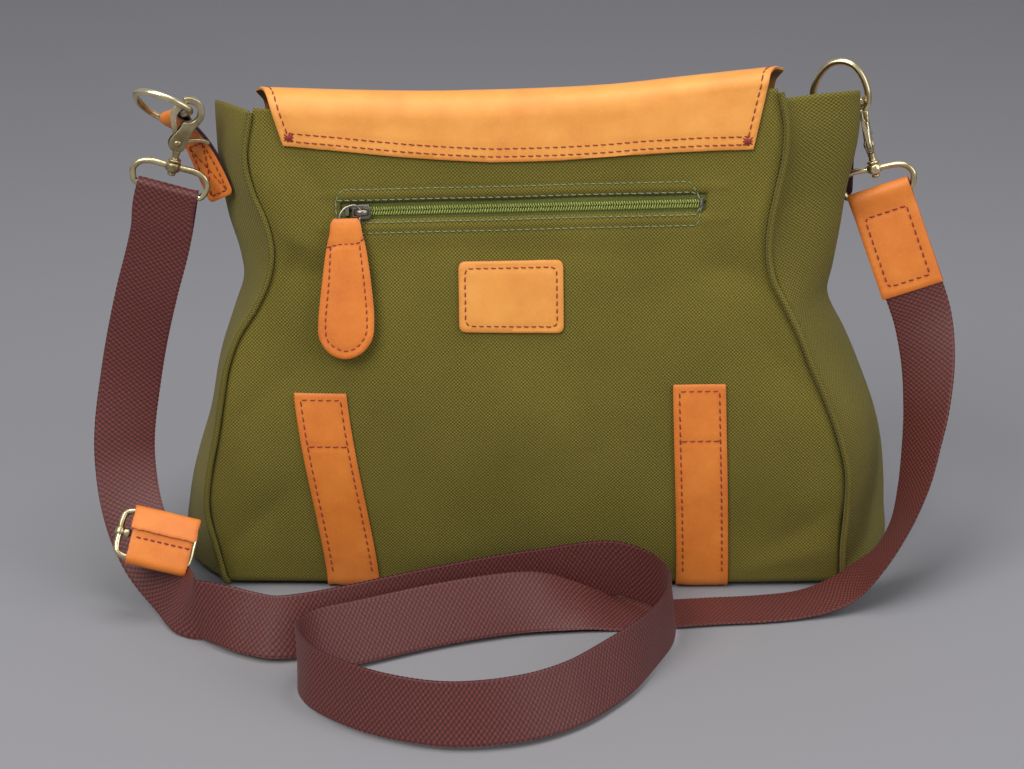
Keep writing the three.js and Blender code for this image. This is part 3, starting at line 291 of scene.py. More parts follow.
# Route of the webbing: middle of the strap, then the direction across it.
STRAP_ROUTE = [
    (-228.4, -38, 252.3, 0.97, 0.00, -0.26), (-235, -36.1, 222.8, 0.98, 0.00, -0.20),
    (-244, -35.5, 191.5, 0.99, 0.00, -0.14), (-252, -34.7, 159.1, 1.00, 0.07, -0.04),
    (-257, -36.4, 132.7, 0.99, 0.16, 0.01), (-261, -42.6, 103.3, 0.96, 0.27, 0.03),
    (-261, -49, 82, 0.93, 0.34, 0.08), (-256, -64, 57, 0.93, 0.30, 0.20),
    (-244, -83, 33, 0.80, 0.05, 0.60), (-228, -104, 20.7, 0.63, -0.20, 0.75),
    (-215, -127, 18.7, 0.53, -0.30, 0.79), (-204, -136, 20.7, 0.38, -0.15, 0.91),
    (-191, -145, 21.7, 0.26, 0.17, 0.95), (-176, -152, 20.7, 0.20, 0.38, 0.90),
    (-160, -158, 20.7, 0.15, 0.40, 0.90), (-141, -156, 21.7, 0.05, 0.35, 0.93),
    (-115, -144, 21.7, 0.00, 0.25, 0.97), (-82, -128, 22.7, 0.00, 0.15, 0.99),
    (-48, -111, 22.7, 0.00, 0.08, 1.00), (-18, -98, 22.7, 0.00, 0.05, 1.00),
    (8, -89, 22.7, 0.00, 0.02, 1.00), (32, -87, 25.7, 0.00, 0.00, 1.00),
    (49, -90, 27.7, -0.03, 0.00, 1.00), (65, -98, 26.7, -0.05, -0.02, 1.00),
    (76, -110, 25.7, -0.10, 0.00, 1.00), (82, -127, 24.7, -0.10, 0.00, 1.00),
    (80, -148, 22.7, -0.10, 0.00, 1.00), (71, -170, 21.7, -0.05, 0.10, 0.99),
    (59, -193, 21.7, 0.00, 0.35, 0.94), (41, -218, 20.7, -0.10, 0.45, 0.89),
    (18, -244, 20.7, -0.10, 0.45, 0.89), (-11, -263, 21.7, 0.00, 0.38, 0.92),
    (-51, -270, 21.7, 0.00, 0.25, 0.97), (-87, -260, 21.7, 0.02, 0.20, 0.98),
    (-115, -242, 21.7, 0.05, 0.20, 0.98), (-136, -219, 21.7, 0.05, 0.15, 0.99),
    (-142, -197, 21.7, -0.03, 0.15, 0.99), (-132, -178, 21.2, -0.20, 0.30, 0.93),
    (-107, -163, 20.2, -0.29, 0.39, 0.87), (-61, -140, 20.2, -0.05, 0.45, 0.89),
    (-23, -126, 20.2, -0.05, 0.43, 0.90), (1, -117, 17.7, -0.05, 0.62, 0.78),
    (25, -109, 11.2, -0.05, 0.91, 0.41), (50, -105, 4, -0.02, 0.99, 0.12),
    (80, -102, 2, 0.00, 1.00, 0.01), (112, -98, 1.9, 0.00, 1.00, 0.00),
    (140, -95, 1.9, 0.00, 1.00, 0.00), (165, -90, 2.4, -0.05, 1.00, 0.00),
    (182, -86, 5.4, -0.30, 0.95, 0.00), (197, -81, 11.4, -0.46, 0.88, -0.10),
    (216, -77, 28.4, -0.33, 0.83, -0.44), (230, -66, 46, -0.21, 0.88, -0.41),
    (239, -54, 69, -0.41, 0.85, -0.33), (244, -43, 93, -0.53, 0.79, -0.31),
    (247, -35, 116, -0.66, 0.68, -0.27), (248, -24.5, 141, -0.80, 0.55, -0.22),
    (244.6, -14.6, 167.2, -0.90, 0.28, -0.30), (238.7, -9.6, 185, -0.92, 0.19, -0.36),
    (234.8, -7.0, 195.2, -0.91, 0.18, -0.38),
]


# ------------------------------------------------------------------ small helpers
def to_frame(p):
    """A point of the bag, in millimetres from its own middle, in the frame's metres."""
    return ((p[0] + BAG_MIDDLE[0]) * MM, (p[1] + BAG_MIDDLE[1]) * MM, p[2] * MM)


def lerp(a, b, t):
    return a + (b - a) * t


def smooth(t):
    t = min(max(t, 0.0), 1.0)
    return t * t * (3 - 2 * t)


def curve_at(rows, z):
    """A smooth curve through [height, value] rows."""
    last = len(rows) - 1
    if z <= rows[0][0]:
        return rows[0][1]
    if z >= rows[last][0]:
        return rows[last][1]
    i = 0
    while z > rows[i + 1][0]:
        i += 1

    def slope(k):
        lo = max(k - 1, 0)
        hi = min(k + 1, last)
        return (rows[hi][1] - rows[lo][1]) / (rows[hi][0] - rows[lo][0])

    h = rows[i + 1][0] - rows[i][0]
    t = (z - rows[i][0]) / h
    return ((2 * t ** 3 - 3 * t * t + 1) * rows[i][1] + (t ** 3 - 2 * t * t + t) * h * slope(i)
            + (3 * t * t - 2 * t ** 3) * rows[i + 1][1] + (t ** 3 - t * t) * h * slope(i + 1))


def catmull(points, closed=False, per_span=12):
    """Points along a centripetal curve through the given ones, evenly many for each span."""
    pts = [Vector(p) for p in points]
    n = len(pts)
    spans = n if closed else n - 1
    out = []
    for k in range(spans):
        p1 = pts[k]
        p2 = pts[(k + 1) % n]
        p0 = pts[k - 1] if closed or k > 0 else p1 * 2 - p2
        p3 = pts[(k + 2) % n] if closed or k + 2 < n else p2 * 2 - p1
        d0, d1, d2 = [max((b - a).length ** 0.5, 1e-4) for a, b in ((p0, p1), (p1, p2), (p2, p3))]
        t1 = ((p1 - p0) / d0 - (p2 - p0) / (d0 + d1) + (p2 - p1) / d1) * d1
        t2 = ((p2 - p1) / d1 - (p3 - p1) / (d1 + d2) + (p3 - p2) / d2) * d1
        for i in range(per_span):
            t = i / per_span
            out.append(p1 * (2 * t ** 3 - 3 * t * t + 1) + t1 * (t ** 3 - 2 * t * t + t)
                       + p2 * (3 * t * t - 2 * t ** 3) + t2 * (t ** 3 - t * t))
    if not closed:
        out.append(pts[-1].copy())
    return out


def walk(points, step, closed=False):
    """The same path, keeping its corners, with points about one step apart."""
    pts = [Vector(p) for p in points]
    if closed:
        pts.append(pts[0])
    out = [pts[0]]
    for a, b in zip(pts, pts[1:]):
        count = max(1, round((b - a).length / step))
        out.extend(a.lerp(b, i / count) for i in range(1, count + 1))
    return out[:-1] if closed else out


def rounded(points, radius, steps=5):
    """A closed outline with its corners rounded. A radius can be one number or one for each corner."""
    pts = [Vector(p) for p in points]
    radii = radius if isinstance(radius, (list, tuple)) else [radius] * len(pts)
    out = []
    for i, p in enumerate(pts):
        before = (pts[i - 1] - p)
        after = (pts[(i + 1) % len(pts)] - p)
        r = min(radii[i], 0.45 * before.length, 0.45 * after.length)
        if r < 0.05:
            out.append(p)
            continue
        a = p + before.normalized() * r
        b = p + after.normalized() * r
        for k in range(steps + 1):
            t = k / steps
            out.append(a * (1 - t) ** 2 + p * 2 * t * (1 - t) + b * t * t)
    return out


def inset(points, d):
    """A closed outline moved inwards by d."""
    pts = [Vector(p) for p in points]
    area = sum(a.x * b.y - b.x * a.y for a, b in zip(pts, pts[1:] + pts[:1]))
    sign = 1 if area > 0 else -1
    out = []
    for i, p in enumerate(pts):
        t = (pts[(i + 1) % len(pts)] - pts[i - 1]).normalized()
        out.append(p + Vector((-t.y, t.x)) * d * sign)
    return out


def path_distance(path, points):
    """Distance of each point from a path of segments."""
    best = np.full(len(points), 1e9)
    for a, b in zip(path, path[1:]):
        a2 = np.array(a[:2])
        d = np.array(b[:2]) - a2
        t = np.clip(((points - a2) @ d) / max(d @ d, 1e-9), 0, 1)
        best = np.minimum(best, np.linalg.norm(points - a2 - t[:, None] * d, axis=1))
    return best


def inside(path, points):
    """Which points lie inside a closed outline."""
    result = np.zeros(len(points), bool)
    x, y = points[:, 0], points[:, 1]
    for a, b in zip(path, list(path[1:]) + [path[0]]):
        crosses = (a[1] > y) != (b[1] > y)
        at = (b[0] - a[0]) * (y - a[1]) / ((b[1] - a[1]) or 1e-9) + a[0]
        result ^= crosses & (x < at)
    return result


def new_object(name, points, faces, materials, smooth_angle=None, face_material=None):
    """A mesh object from points of the bag in millimetres."""
    mesh = bpy.data.meshes.new(name)
    mesh.from_pydata([to_frame(p) for p in points], [], faces)
    for material in materials:
        mesh.materials.append(material)
    if face_material:
        mesh.polygons.foreach_set("material_index", face_material)
    mesh.shade_smooth()
    if smooth_angle:
        mesh.set_sharp_from_angle(angle=math.radians(smooth_angle))
    obj = bpy.data.objects.new(name, mesh)
    bpy.context.scene.collection.objects.link(obj)
    return obj


def face_outwards(obj):
    """Turns every face of a closed piece to its outside."""
    work = bmesh.new()
    work.from_mesh(obj.data)
    bmesh.ops.recalc_face_normals(work, faces=work.faces)
    work.to_mesh(obj.data)
    work.free()


def set_cloth(obj, values):
    """Stores where each vertex lies on the flat cloth, in millimetres."""
    attribute = obj.data.attributes.new("cloth", "FLOAT_VECTOR", "POINT")
    flat = [c for u, v in values for c in (u, v, 0.0)]
    attribute.data.foreach_set("vector", flat)


def set_value(obj, name, values):
    attribute = obj.data.attributes.new(name, "FLOAT", "POINT")
    attribute.data.foreach_set("value", values)


def keep(obj, body, slot, *nodes):
    """Hangs a finished piece on its body and says which solids it stands for."""
    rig.ride(obj, body)
    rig.slot(obj, slot)
    if nodes:
        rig.replaces(obj, *nodes)
    return obj


def grid(name, nu, nv, point, cloth, material, skip=None, closed=False):
    """A sheet of quads. point and cloth take u and v from 0 to 1."""
    columns = nu if closed else nu + 1
    points = []
    flat = []
    for j in range(nv + 1):
        for i in range(columns):
            points.append(point(i / nu, j / nv))
            flat.append(cloth(i / nu, j / nv))
    faces = []
    for j in range(nv):
        for i in range(nu):
            if skip and skip(i, j):
                continue
            k = (i + 1) % columns
            faces.append((j * columns + i, j * columns + k, (j + 1) * columns + k, (j + 1) * columns + i))
    obj = new_object(name, points, faces, [material])
    set_cloth(obj, flat)
    return obj


def loft_faces(rings, sides, closed=False, base=0):
    """Quads between rings of points, with a cap at both ends of an open row of rings."""
    faces = []
    for i in range(rings if closed else rings - 1):
        j = (i + 1) % rings
        for k in range(sides):
            m = (k + 1) % sides
            corners = (i * sides + k, i * sides + m, j * sides + m, j * sides + k)
            faces.append(tuple(base + corner for corner in corners))
    if not closed:
        faces.append(tuple(base + k for k in reversed(range(sides))))
        faces.append(tuple(base + (rings - 1) * sides + k for k in range(sides)))
    return faces


def prism_faces(n):
    """Both ends and the sides of an outline of n points that is given a thickness."""
    sides = [(i, (i + 1) % n, n + (i + 1) % n, n + i) for i in range(n)]
    return [tuple(reversed(range(n))), tuple(range(n, 2 * n))] + sides


def oblong(x0, y0, x1, y1):
    return [(x0, y0), (x1, y0), (x1, y1), (x0, y1)]


def mirrored(first, right, last):
    """A closed outline from its right half and the two points where it meets the middle line."""
    return [first, *right, last] + [(-x, y) for x, y in reversed(right)]


def round_edges(obj, width, segments, angle, harden):
    rounder = obj.modifiers.new("rounded edges", "BEVEL")
    rounder.width = width * MM
    rounder.segments = segments
    rounder.limit_method = "ANGLE"
    rounder.angle_limit = math.radians(angle)
    rounder.harden_normals = harden


def thicken(obj, thickness, offset=-1.0):
    """Gives a sheet its thickness, on the side away from its face for offset -1."""
    solidify = obj.modifiers.new("thickness", "SOLIDIFY")
    solidify.thickness = thickness * MM
    solidify.offset = offset
    solidify.use_rim = True
    return obj


def tube(name, path, radius, material, closed=False, sides=16):
    """A round wire along a path, in millimetres."""
    pts = [Vector(p) for p in path]
    n = len(pts)
    tangents = []
    for i in range(n):
        a = pts[i - 1] if closed or i else pts[0]
        b = pts[(i + 1) % n] if closed or i + 1 < n else pts[-1]
        tangents.append((b - a).normalized())
    side = tangents[0].orthogonal().normalized()
    sides_at = [side]
    for i in range(1, n):
        side = side - tangents[i] * side.dot(tangents[i])
        side = side.normalized()
        sides_at.append(side.copy())
    twist = 0.0
    if closed:
        end = sides_at[-1] - tangents[0] * sides_at[-1].dot(tangents[0])
        end.normalize()
        twist = math.atan2(end.cross(sides_at[0]).dot(tangents[0]), end.dot(sides_at[0]))
    points = []
    flat = []
    length = 0.0
    for i in range(n):
        if i:
            length += (pts[i] - pts[i - 1]).length
        s = sides_at[i]
        b = tangents[i].cross(s)
        turn = twist * i / n
        for k in range(sides):
            angle = 2 * math.pi * k / sides + turn
            points.append(pts[i] + s * radius * math.cos(angle) + b * radius * math.sin(angle))
            flat.append((length, radius * 2 * math.pi * k / sides))
    obj = new_object(name, points, loft_faces(n, sides, closed), [material], smooth_angle=50)
    set_cloth(obj, flat)
    return obj


# ------------------------------------------------------------------ materials
def material(name, colour, roughness, metallic=0.0):
    """A principled material and what is needed to build on it."""
    mat = bpy.data.materials.new(name)
    mat.use_nodes = True
    tree = mat.node_tree
    shader = tree.nodes["Principled BSDF"]
    shader.inputs["Base Color"].default_value = (*colour, 1)
    shader.inputs["Roughness"].default_value = roughness
    shader.inputs["Metallic"].default_value = metallic
    mat.diffuse_color = (*colour, 1)
    return mat, tree, shader


def node(tree, kind, inputs=(), **settings):
    """A new node with its settings, and its inputs linked or set by name or place."""
    made = tree.nodes.new(kind)
    for key, value in settings.items():
        setattr(made, key, value)
    for key, value in dict(inputs).items():
        socket = made.inputs[key]
        if isinstance(value, bpy.types.NodeSocket):
            tree.links.new(value, socket)
        else:
            socket.default_value = value
    return made


def maths(tree, operation, a, b=0.0):
    return node(tree, "ShaderNodeMath", {0: a, 1: b}, operation=operation).outputs[0]


def ramp(tree, value, stops):
    """A colour ramp through (place, colour) stops."""
    made = node(tree, "ShaderNodeValToRGB", {"Fac": value})
    elements = made.color_ramp.elements
    while len(elements) < len(stops):
        elements.new(0.5)
    for element, (place, colour) in zip(elements, stops):
        element.position = place
        element.color = (*colour, 1)
    return made.outputs["Color"]


def weighted(tree, *terms):
    """The sum of values, each times its weight."""
    total = None
    for value, weight in terms:
        term = maths(tree, "MULTIPLY", value, weight)
        total = term if total is None else maths(tree, "ADD", total, term)
    return total


def cloth_place(tree):
    return node(tree, "ShaderNodeAttribute", attribute_name="cloth").outputs["Vector"]


def stored(tree, name):
    return node(tree, "ShaderNodeAttribute", attribute_name=name).outputs["Fac"]


def object_place(tree):
    return node(tree, "ShaderNodeTexCoord").outputs["Object"]


def scaled(tree, vector, scale):
    return node(tree, "ShaderNodeVectorMath", {0: vector, 1: scale}, operation="MULTIPLY").outputs[0]


def plain_noise(tree, vector, scale, detail):
    return node(tree, "ShaderNodeTexNoise", {"Vector": vector, "Scale": scale, "Detail": detail})


def noise_at(tree, vector, scale, detail=3.0, roughness=0.55):
    return node(tree, "ShaderNodeTexNoise", {"Vector": vector, "Scale": scale, "Detail": detail,
                                             "Roughness": roughness}).outputs["Fac"]


def mix_colours(tree, kind, factor, a, b):
    made = node(tree, "ShaderNodeMix", {0: factor}, data_type="RGBA", blend_type=kind)
    for socket, value in ((made.inputs[6], a), (made.inputs[7], b)):
        if isinstance(value, bpy.types.NodeSocket):
            tree.links.new(value, socket)
        else:
            socket.default_value = (*value, 1)
    return made.outputs[2]


def add_bump(tree, shader, height, strength, distance):
    bump = node(tree, "ShaderNodeBump", {"Height": height, "Strength": strength, "Distance": distance * MM})
    tree.links.new(bump.outputs["Normal"], shader.inputs["Normal"])


def weave(tree, pitch):
    """Height of a plain weave from -1 to 1, from the cloth's own flat coordinates."""
    flat = cloth_place(tree)
    waver = plain_noise(tree, flat, 0.35, 2.0).outputs["Color"]
    shifted = scaled(tree, waver, (YARN_WAVER, YARN_WAVER, 0))
    moved = node(tree, "ShaderNodeVectorMath", {0: flat, 1: shifted}, operation="ADD").outputs[0]
    parts = node(tree, "ShaderNodeSeparateXYZ", {"Vector": moved})
    across, along = [maths(tree, "COSINE", maths(tree, "MULTIPLY", parts.outputs[axis], math.pi / pitch))
                     for axis in ("X", "Y")]
    return maths(tree, "MULTIPLY", across, along), flat


def canvas_material(name, dark, middle, light, pitch):
    mat, tree, shader = material(name, middle, 0.88)
    height, flat = weave(tree, pitch)
    thread = noise_at(tree, flat, 1.3, 3.0, 0.7)
    patches = noise_at(tree, flat, 0.012, 3.0, 0.5)
    tone = weighted(tree, (height, 0.30), (thread, 0.85), (patches, 0.35))
    colour = ramp(tree, maths(tree, "MULTIPLY", tone, 0.82), [(0.12, dark), (0.48, middle), (0.92, light)])
    tree.links.new(colour, shader.inputs["Base Color"])
    shader.inputs["Sheen Weight"].default_value = 0.06
    shader.inputs["Sheen Roughness"].default_value = 0.5
    shader.inputs["Specular IOR Level"].default_value = 0.25
    grain = maths(tree, "ADD", height, maths(tree, "MULTIPLY", thread, 1.1))
    add_bump(tree, shader, grain, 0.75, 0.32)
    return mat


def webbing_material(name):
    mat, tree, shader = material(name, (0.10, 0.026, 0.022), 0.55)
    # The colour follows the weave's relief: painted shade in its low cells and a painted highlight on its raised
    # cells, over the yarns' own noise.
    height = stored(tree, "weave")
    yarn = plain_noise(tree, scaled(tree, cloth_place(tree), (3.4, 0.5, 1)), 1.0, 3.0).outputs["Fac"]
    tone = weighted(tree, (height, 0.75), (yarn, 0.40))
    colour = ramp(tree, tone, [(0.20, (0.008, 0.0015, 0.0015)), (0.48, (0.056, 0.009, 0.007)),
                               (0.72, (0.14, 0.022, 0.017)), (0.95, (0.28, 0.062, 0.046))])
    tree.links.new(colour, shader.inputs["Base Color"])
    shader.inputs["Sheen Weight"].default_value = 0.05
    add_bump(tree, shader, yarn, 0.5, 0.18)
    return mat


def vary_roughness(tree, shader, value, low, high):
    """Lets the roughness follow the middle part of a noise, from one value to another."""
    spread = node(tree, "ShaderNodeMapRange", {"Value": value, "From Min": 0.3, "From Max": 0.7,
                                               "To Min": low, "To Max": high})
    tree.links.new(spread.outputs["Result"], shader.inputs["Roughness"])


def leather_material(name, dark, middle, light, roughness=0.5):
    """Smooth leather with a fine grain, soft clouds of colour, darker cut edges and painted shade in the stitch
    grooves.
    """
    mat, tree, shader = material(name, middle, roughness)
    flat = cloth_place(tree)
    edge = stored(tree, "edge")
    cloud = noise_at(tree, flat, 0.028, 4.0, 0.6)
    fine = noise_at(tree, flat, 0.6, 4.0, 0.65)
    tone = weighted(tree, (cloud, 0.8), (fine, 0.25))
    colour = ramp(tree, tone, [(0.30, dark), (0.52, middle), (0.74, light)])
    # Darker along the cut edges, and painted shade in the stitch grooves, both from the stored edge value.
    edge_and_groove_shade_mix = maths(tree, "MULTIPLY", edge, 0.55)
    tree.links.new(mix_colours(tree, "MULTIPLY", edge_and_groove_shade_mix, colour, (0.72, 0.50, 0.36)),
                   shader.inputs["Base Color"])
    pores = node(tree, "ShaderNodeTexVoronoi", {"Vector": flat, "Scale": 1.6}, feature="F1")
    grain = maths(tree, "ADD", maths(tree, "MULTIPLY", pores.outputs["Distance"], 0.5), fine)
    add_bump(tree, shader, grain, 0.22, 0.22)
    vary_roughness(tree, shader, fine, roughness - 0.07, roughness + 0.12)
    return mat


def metal_material(name, dark, light, roughness):
    """Antique plated metal with a brushed, slightly tarnished surface."""
    mat, tree, shader = material(name, light, roughness, 1.0)
    place = object_place(tree)
    tarnish = noise_at(tree, place, 55.0, 3.0, 0.5)
    tree.links.new(ramp(tree, tarnish, [(0.30, dark), (0.62, light)]), shader.inputs["Base Color"])
    brushed = plain_noise(tree, scaled(tree, place, (1, 1, 0.15)), 2600.0, 2.0).outputs["Fac"]
    add_bump(tree, shader, brushed, 0.03, 0.03)
    vary_roughness(tree, shader, tarnish, roughness + 0.10, roughness - 0.05)
    return mat


def thread_material(name, colour):
    mat, tree, shader = material(name, colour, 0.6)
    place = object_place(tree)
    ply = noise_at(tree, place, 2400.0, 2.0)
    dark = tuple(c * 0.55 for c in colour)
    tree.links.new(ramp(tree, ply, [(0.35, dark), (0.65, colour)]), shader.inputs["Base Color"])
    add_bump(tree, shader, ply, 0.4, 0.1)
    return mat


def plain_material(name, dark, light, roughness, scale):
    mat, tree, shader = material(name, light, roughness)
    place = object_place(tree)
    spots = noise_at(tree, place, scale, 4.0)
    tree.links.new(ramp(tree, spots, [(0.35, dark), (0.65, light)]), shader.inputs["Base Color"])
    add_bump(tree, shader, spots, 0.15, 0.2)
    return mat


CANVAS_CLOTH = canvas_material("olive_canvas", (0.036, 0.029, 0.004), (0.134, 0.107, 0.012),
                               (0.29, 0.235, 0.042), 1.1)
LINING_CLOTH = canvas_material("lining_cloth", (0.12, 0.10, 0.06), (0.24, 0.20, 0.13),
                               (0.36, 0.32, 0.22), 0.6)
TAPE_CLOTH = canvas_material("zip_tape_cloth", (0.05, 0.06, 0.008), (0.14, 0.155, 0.03),
                             (0.25, 0.26, 0.07), 0.5)
LEATHER_FACE = leather_material("tan_leather", (0.66, 0.235, 0.038), (0.75, 0.30, 0.052),
                                (0.81, 0.36, 0.072))
LEATHER_DEEP = leather_material("orange_leather", (0.57, 0.140, 0.014), (0.69, 0.190, 0.021),
                                (0.78, 0.25, 0.034))
LEATHER_EDGE = leather_material("cut_leather", (0.36, 0.12, 0.03), (0.56, 0.24, 0.07),
                                (0.70, 0.38, 0.16), 0.85)
PURPLE_EDGE = leather_material("painted_edge", (0.030, 0.012, 0.020), (0.055, 0.022, 0.034),
                               (0.09, 0.04, 0.05), 0.5)
DEEP = (LEATHER_DEEP, LEATHER_EDGE)
WEBBING = webbing_material("burgundy_webbing")
BRASS = metal_material("antique_brass", (0.30, 0.23, 0.11), (0.78, 0.67, 0.42), 0.26)
BRONZE = metal_material("dark_bronze", (0.12, 0.10, 0.08), (0.42, 0.38, 0.32), 0.28)
RED_THREAD = thread_material("red_thread", (0.30, 0.025, 0.018))
SAGE_THREAD = thread_material("sage_thread", (0.24, 0.30, 0.17))
COIL_PLASTIC = plain_material("coil_plastic", (0.20, 0.22, 0.04), (0.46, 0.50, 0.12), 0.4, 900.0)
# A near-black material for the painted shade in the gap between the zip's coils.
PAINTED_GAP_SHADE = plain_material("painted_gap_shade", (0.006, 0.008, 0.004), (0.016, 0.020, 0.010), 0.9, 300.0)
BOARD = plain_material("black_board", (0.010, 0.010, 0.010), (0.03, 0.03, 0.028), 0.7, 200.0)


# ------------------------------------------------------------------ the bag's surfaces
def mouth_top(x):
    """Height of the back edge of the mouth, just under the flap."""
    return min(PANEL_TOP, curve_at(FLAP_CREST, x) - UNDER_FLAP)


def fold_height(folds, x, z):
    """How far the soft folds move a face, in millimetres."""
    total = 0.0
    for (x0, z0), (x1, z1), depth, width in folds:
        dx, dz = x1 - x0, z1 - z0
        length2 = dx * dx + dz * dz
        t = ((x - x0) * dx + (z - z0) * dz) / length2
        if t < -0.5 or t > 1.5:
            continue
        off = ((x - x0) * dz - (z - z0) * dx) / math.sqrt(length2)
        if abs(off) > 3 * width:
            continue
        ends = smooth((t + 0.35) / 0.6) * smooth((1.35 - t) / 0.6)
        total += depth * math.exp(-(abs(off) / width) ** 1.5) * ends
    return total


def face_depth(direction, x, z):
    """Depth of the back (-1) or front (1) canvas from the middle of the bag, with its folds."""
    left = curve_at(PIPE_LEFT, z)
    right = curve_at(PIPE_RIGHT, z)
    across = min(max((x - left) / (right - left), 0.0), 1.0) * 2 - 1
    depth = lerp(curve_at(EDGE_DEPTH, z), curve_at(MIDDLE_DEPTH, z), 1 - across * across)
    seam = min(x - left, right - x)
    fade = smooth(seam / 16) * smooth((PANEL_TOP - z) / 24)
    depth += fold_height(BACK_FOLDS if direction < 0 else FRONT_FOLDS, x, z) * fade
    depth += 0.9 * noise.noise(Vector((x * 0.016, z * 0.016, direction * 5.0))) * fade
    return depth - SEAM_DIP * math.exp(-(max(seam - 2, 0) / 4.0) ** 2)


def face_point(direction, x, w, offset=0.0):
    """A point on the back or front face. Below the turn, w runs on round and under the base."""
    if w >= TURN_TOP:
        return Vector((x, direction * (face_depth(direction, x, w) + offset), w))
    middle = face_depth(direction, x, TURN_TOP) - BASE_RADIUS
    angle = (TURN_TOP - w) / BASE_RADIUS
    if angle < math.pi / 2:
        reach = BASE_RADIUS + offset
        y = direction * (middle + reach * math.cos(angle))
        return Vector((x, y, TURN_TOP - reach * math.sin(angle)))
    under = (TURN_TOP - w) - TURN_LENGTH
    return Vector((x, direction * (middle - under), BASE_Z - offset))


def gusset_x(side, t, z):
    """Side face: t runs from the back seam (0) to the front seam (1)."""
    pipe = curve_at(PIPE_LEFT if side < 0 else PIPE_RIGHT, z)
    crest = curve_at(CREST_LEFT if side < 0 else CREST_RIGHT, z)
    folded = 0.0 if side < 0 else smooth((z - 200) / 80)
    fold = 0.5 - 0.08 * folded
    turn = 0.5 * t / fold if t < fold else 0.5 + 0.5 * (t - fold) / (1 - fold)
    return pipe + (crest - pipe) * max(math.sin(math.pi * turn), 0.0) ** (1 + folded)


def gusset_point(side, t, w):
    z = max(w, TURN_TOP)
    fade = smooth(min(t, 1 - t) / 0.15)
    waves = 1.5 * noise.noise(Vector((t * 2.4, z * 0.022, side * 3.0)))
    waves += 1.0 * math.sin(z * 0.055 + t * 5 + side) * smooth((200 - z) / 120)
    x = gusset_x(side, t, z) + side * waves * fade
    edge = curve_at(EDGE_DEPTH, z)
    y = lerp(-edge, edge, t)
    if w >= TURN_TOP:
        return Vector((x, y, w))
    angle = min((TURN_TOP - w) / BASE_RADIUS, math.pi / 2)
    inward = BASE_RADIUS * (1 - math.cos(angle))
    y = y * (1 - inward / BASE_HALF_DEPTH)
    return Vector((x - side * inward, y, TURN_TOP - BASE_RADIUS * math.sin(angle)))


# ------------------------------------------------------------------ canvas body


def zip_z(x):
    return ZIP_START[1] + (x - ZIP_START[0]) * (ZIP_END[1] - ZIP_START[1]) / (ZIP_END[0] - ZIP_START[0])


def frame_rows():
    """The two rows of stitching round the zip, as closed loops of [x, height from the zip]."""
    outer = [(-120, 13.5), (93, 13.5), (100.5, 1), (98, -13.5), (-123, -13.5), (-124, 8)]
    inner = [(-124, 7), (96, 7), (100.5, 1), (97, -7), (-124, -7)]
    return [[(x, zip_z(x) + h) for x, h in row] for row in (outer, inner)]


FRAME_ROWS = frame_rows()


def back_panel():
    """The back canvas: three blocks of columns by three of rows, with the zip window left out."""
    columns = [("left", 34), ("middle", 104), ("right", 30)]
    rows = [("low", 116), ("window", 4), ("high", 32)]
    nu = sum(count for _, count in columns)
    nv = sum(count for _, count in rows)

    def split(blocks, index):
        for place, (_, count) in enumerate(blocks):
            if index < count or place == len(blocks) - 1:
                return place, index / count
            index -= count

    def flat(u, v):
        part, t = split(columns, round(u * nu))
        row, s = split(rows, round(v * nv))
        x = -12.0
        for _ in range(3):
            low = zip_z(x) - WINDOW_HALF
            high = zip_z(x) + WINDOW_HALF
            w = (lerp(LOWEST_W, low, s), lerp(low, high, s), lerp(high, mouth_top(x), s))[row]
            left = curve_at(PIPE_LEFT, w) + SEAM_INSET
            right = curve_at(PIPE_RIGHT, w) - SEAM_INSET
            x = (lerp(left, WINDOW_LEFT, t), lerp(WINDOW_LEFT, WINDOW_RIGHT, t),
                 lerp(WINDOW_RIGHT, right, t))[part]
        return x, w

    def point(u, v):
        x, w = flat(u, v)
        away = math.hypot(max(WINDOW_LEFT - x, 0, x - WINDOW_RIGHT),
                          max(abs(w - zip_z(x)) - WINDOW_HALF, 0))
        offset = -1.5 * math.exp(-away / 1.3)
        if w > 222:
            near = min(path_distance(row + row[:1], np.array([[x, w]]))[0] for row in FRAME_ROWS)
            offset -= 0.45 * math.exp(-(near / 1.3) ** 2)
            offset += 0.5 * math.exp(-((abs(w - zip_z(x)) - 10.2) / 2.6) ** 2) * (away < 15)
        return face_point(-1, x, w, offset)

    first = columns[0][1]
    last = first + columns[1][1]
    low = rows[0][1]

    def skip(i, j):
        return first <= i < last and low <= j < low + rows[1][1]

    obj = grid("canvas_back", nu, nv, point, flat, CANVAS_CLOTH, skip)
    thicken(obj, CANVAS, 1.0 if obj.data.polygons[0].normal.y > 0 else -1.0)
    return keep(obj, "bag", "canvas", "back_panel")


def front_panel():
    def flat(u, v):
        x = lerp(-170, 150, u)
        for _ in range(2):
            w = lerp(LOWEST_W, mouth_top(x) - MOUTH_DROP, v)
            x = lerp(curve_at(PIPE_LEFT, w) + SEAM_INSET, curve_at(PIPE_RIGHT, w) - SEAM_INSET, u)
        return x, w

    obj = grid("canvas_front", 110, 96, lambda u, v: face_point(1, *flat(u, v)), flat, CANVAS_CLOTH)
    thicken(obj, CANVAS, 1.0 if obj.data.polygons[0].normal.y < 0 else -1.0)
    return keep(obj, "bag", "canvas", "front_panel")


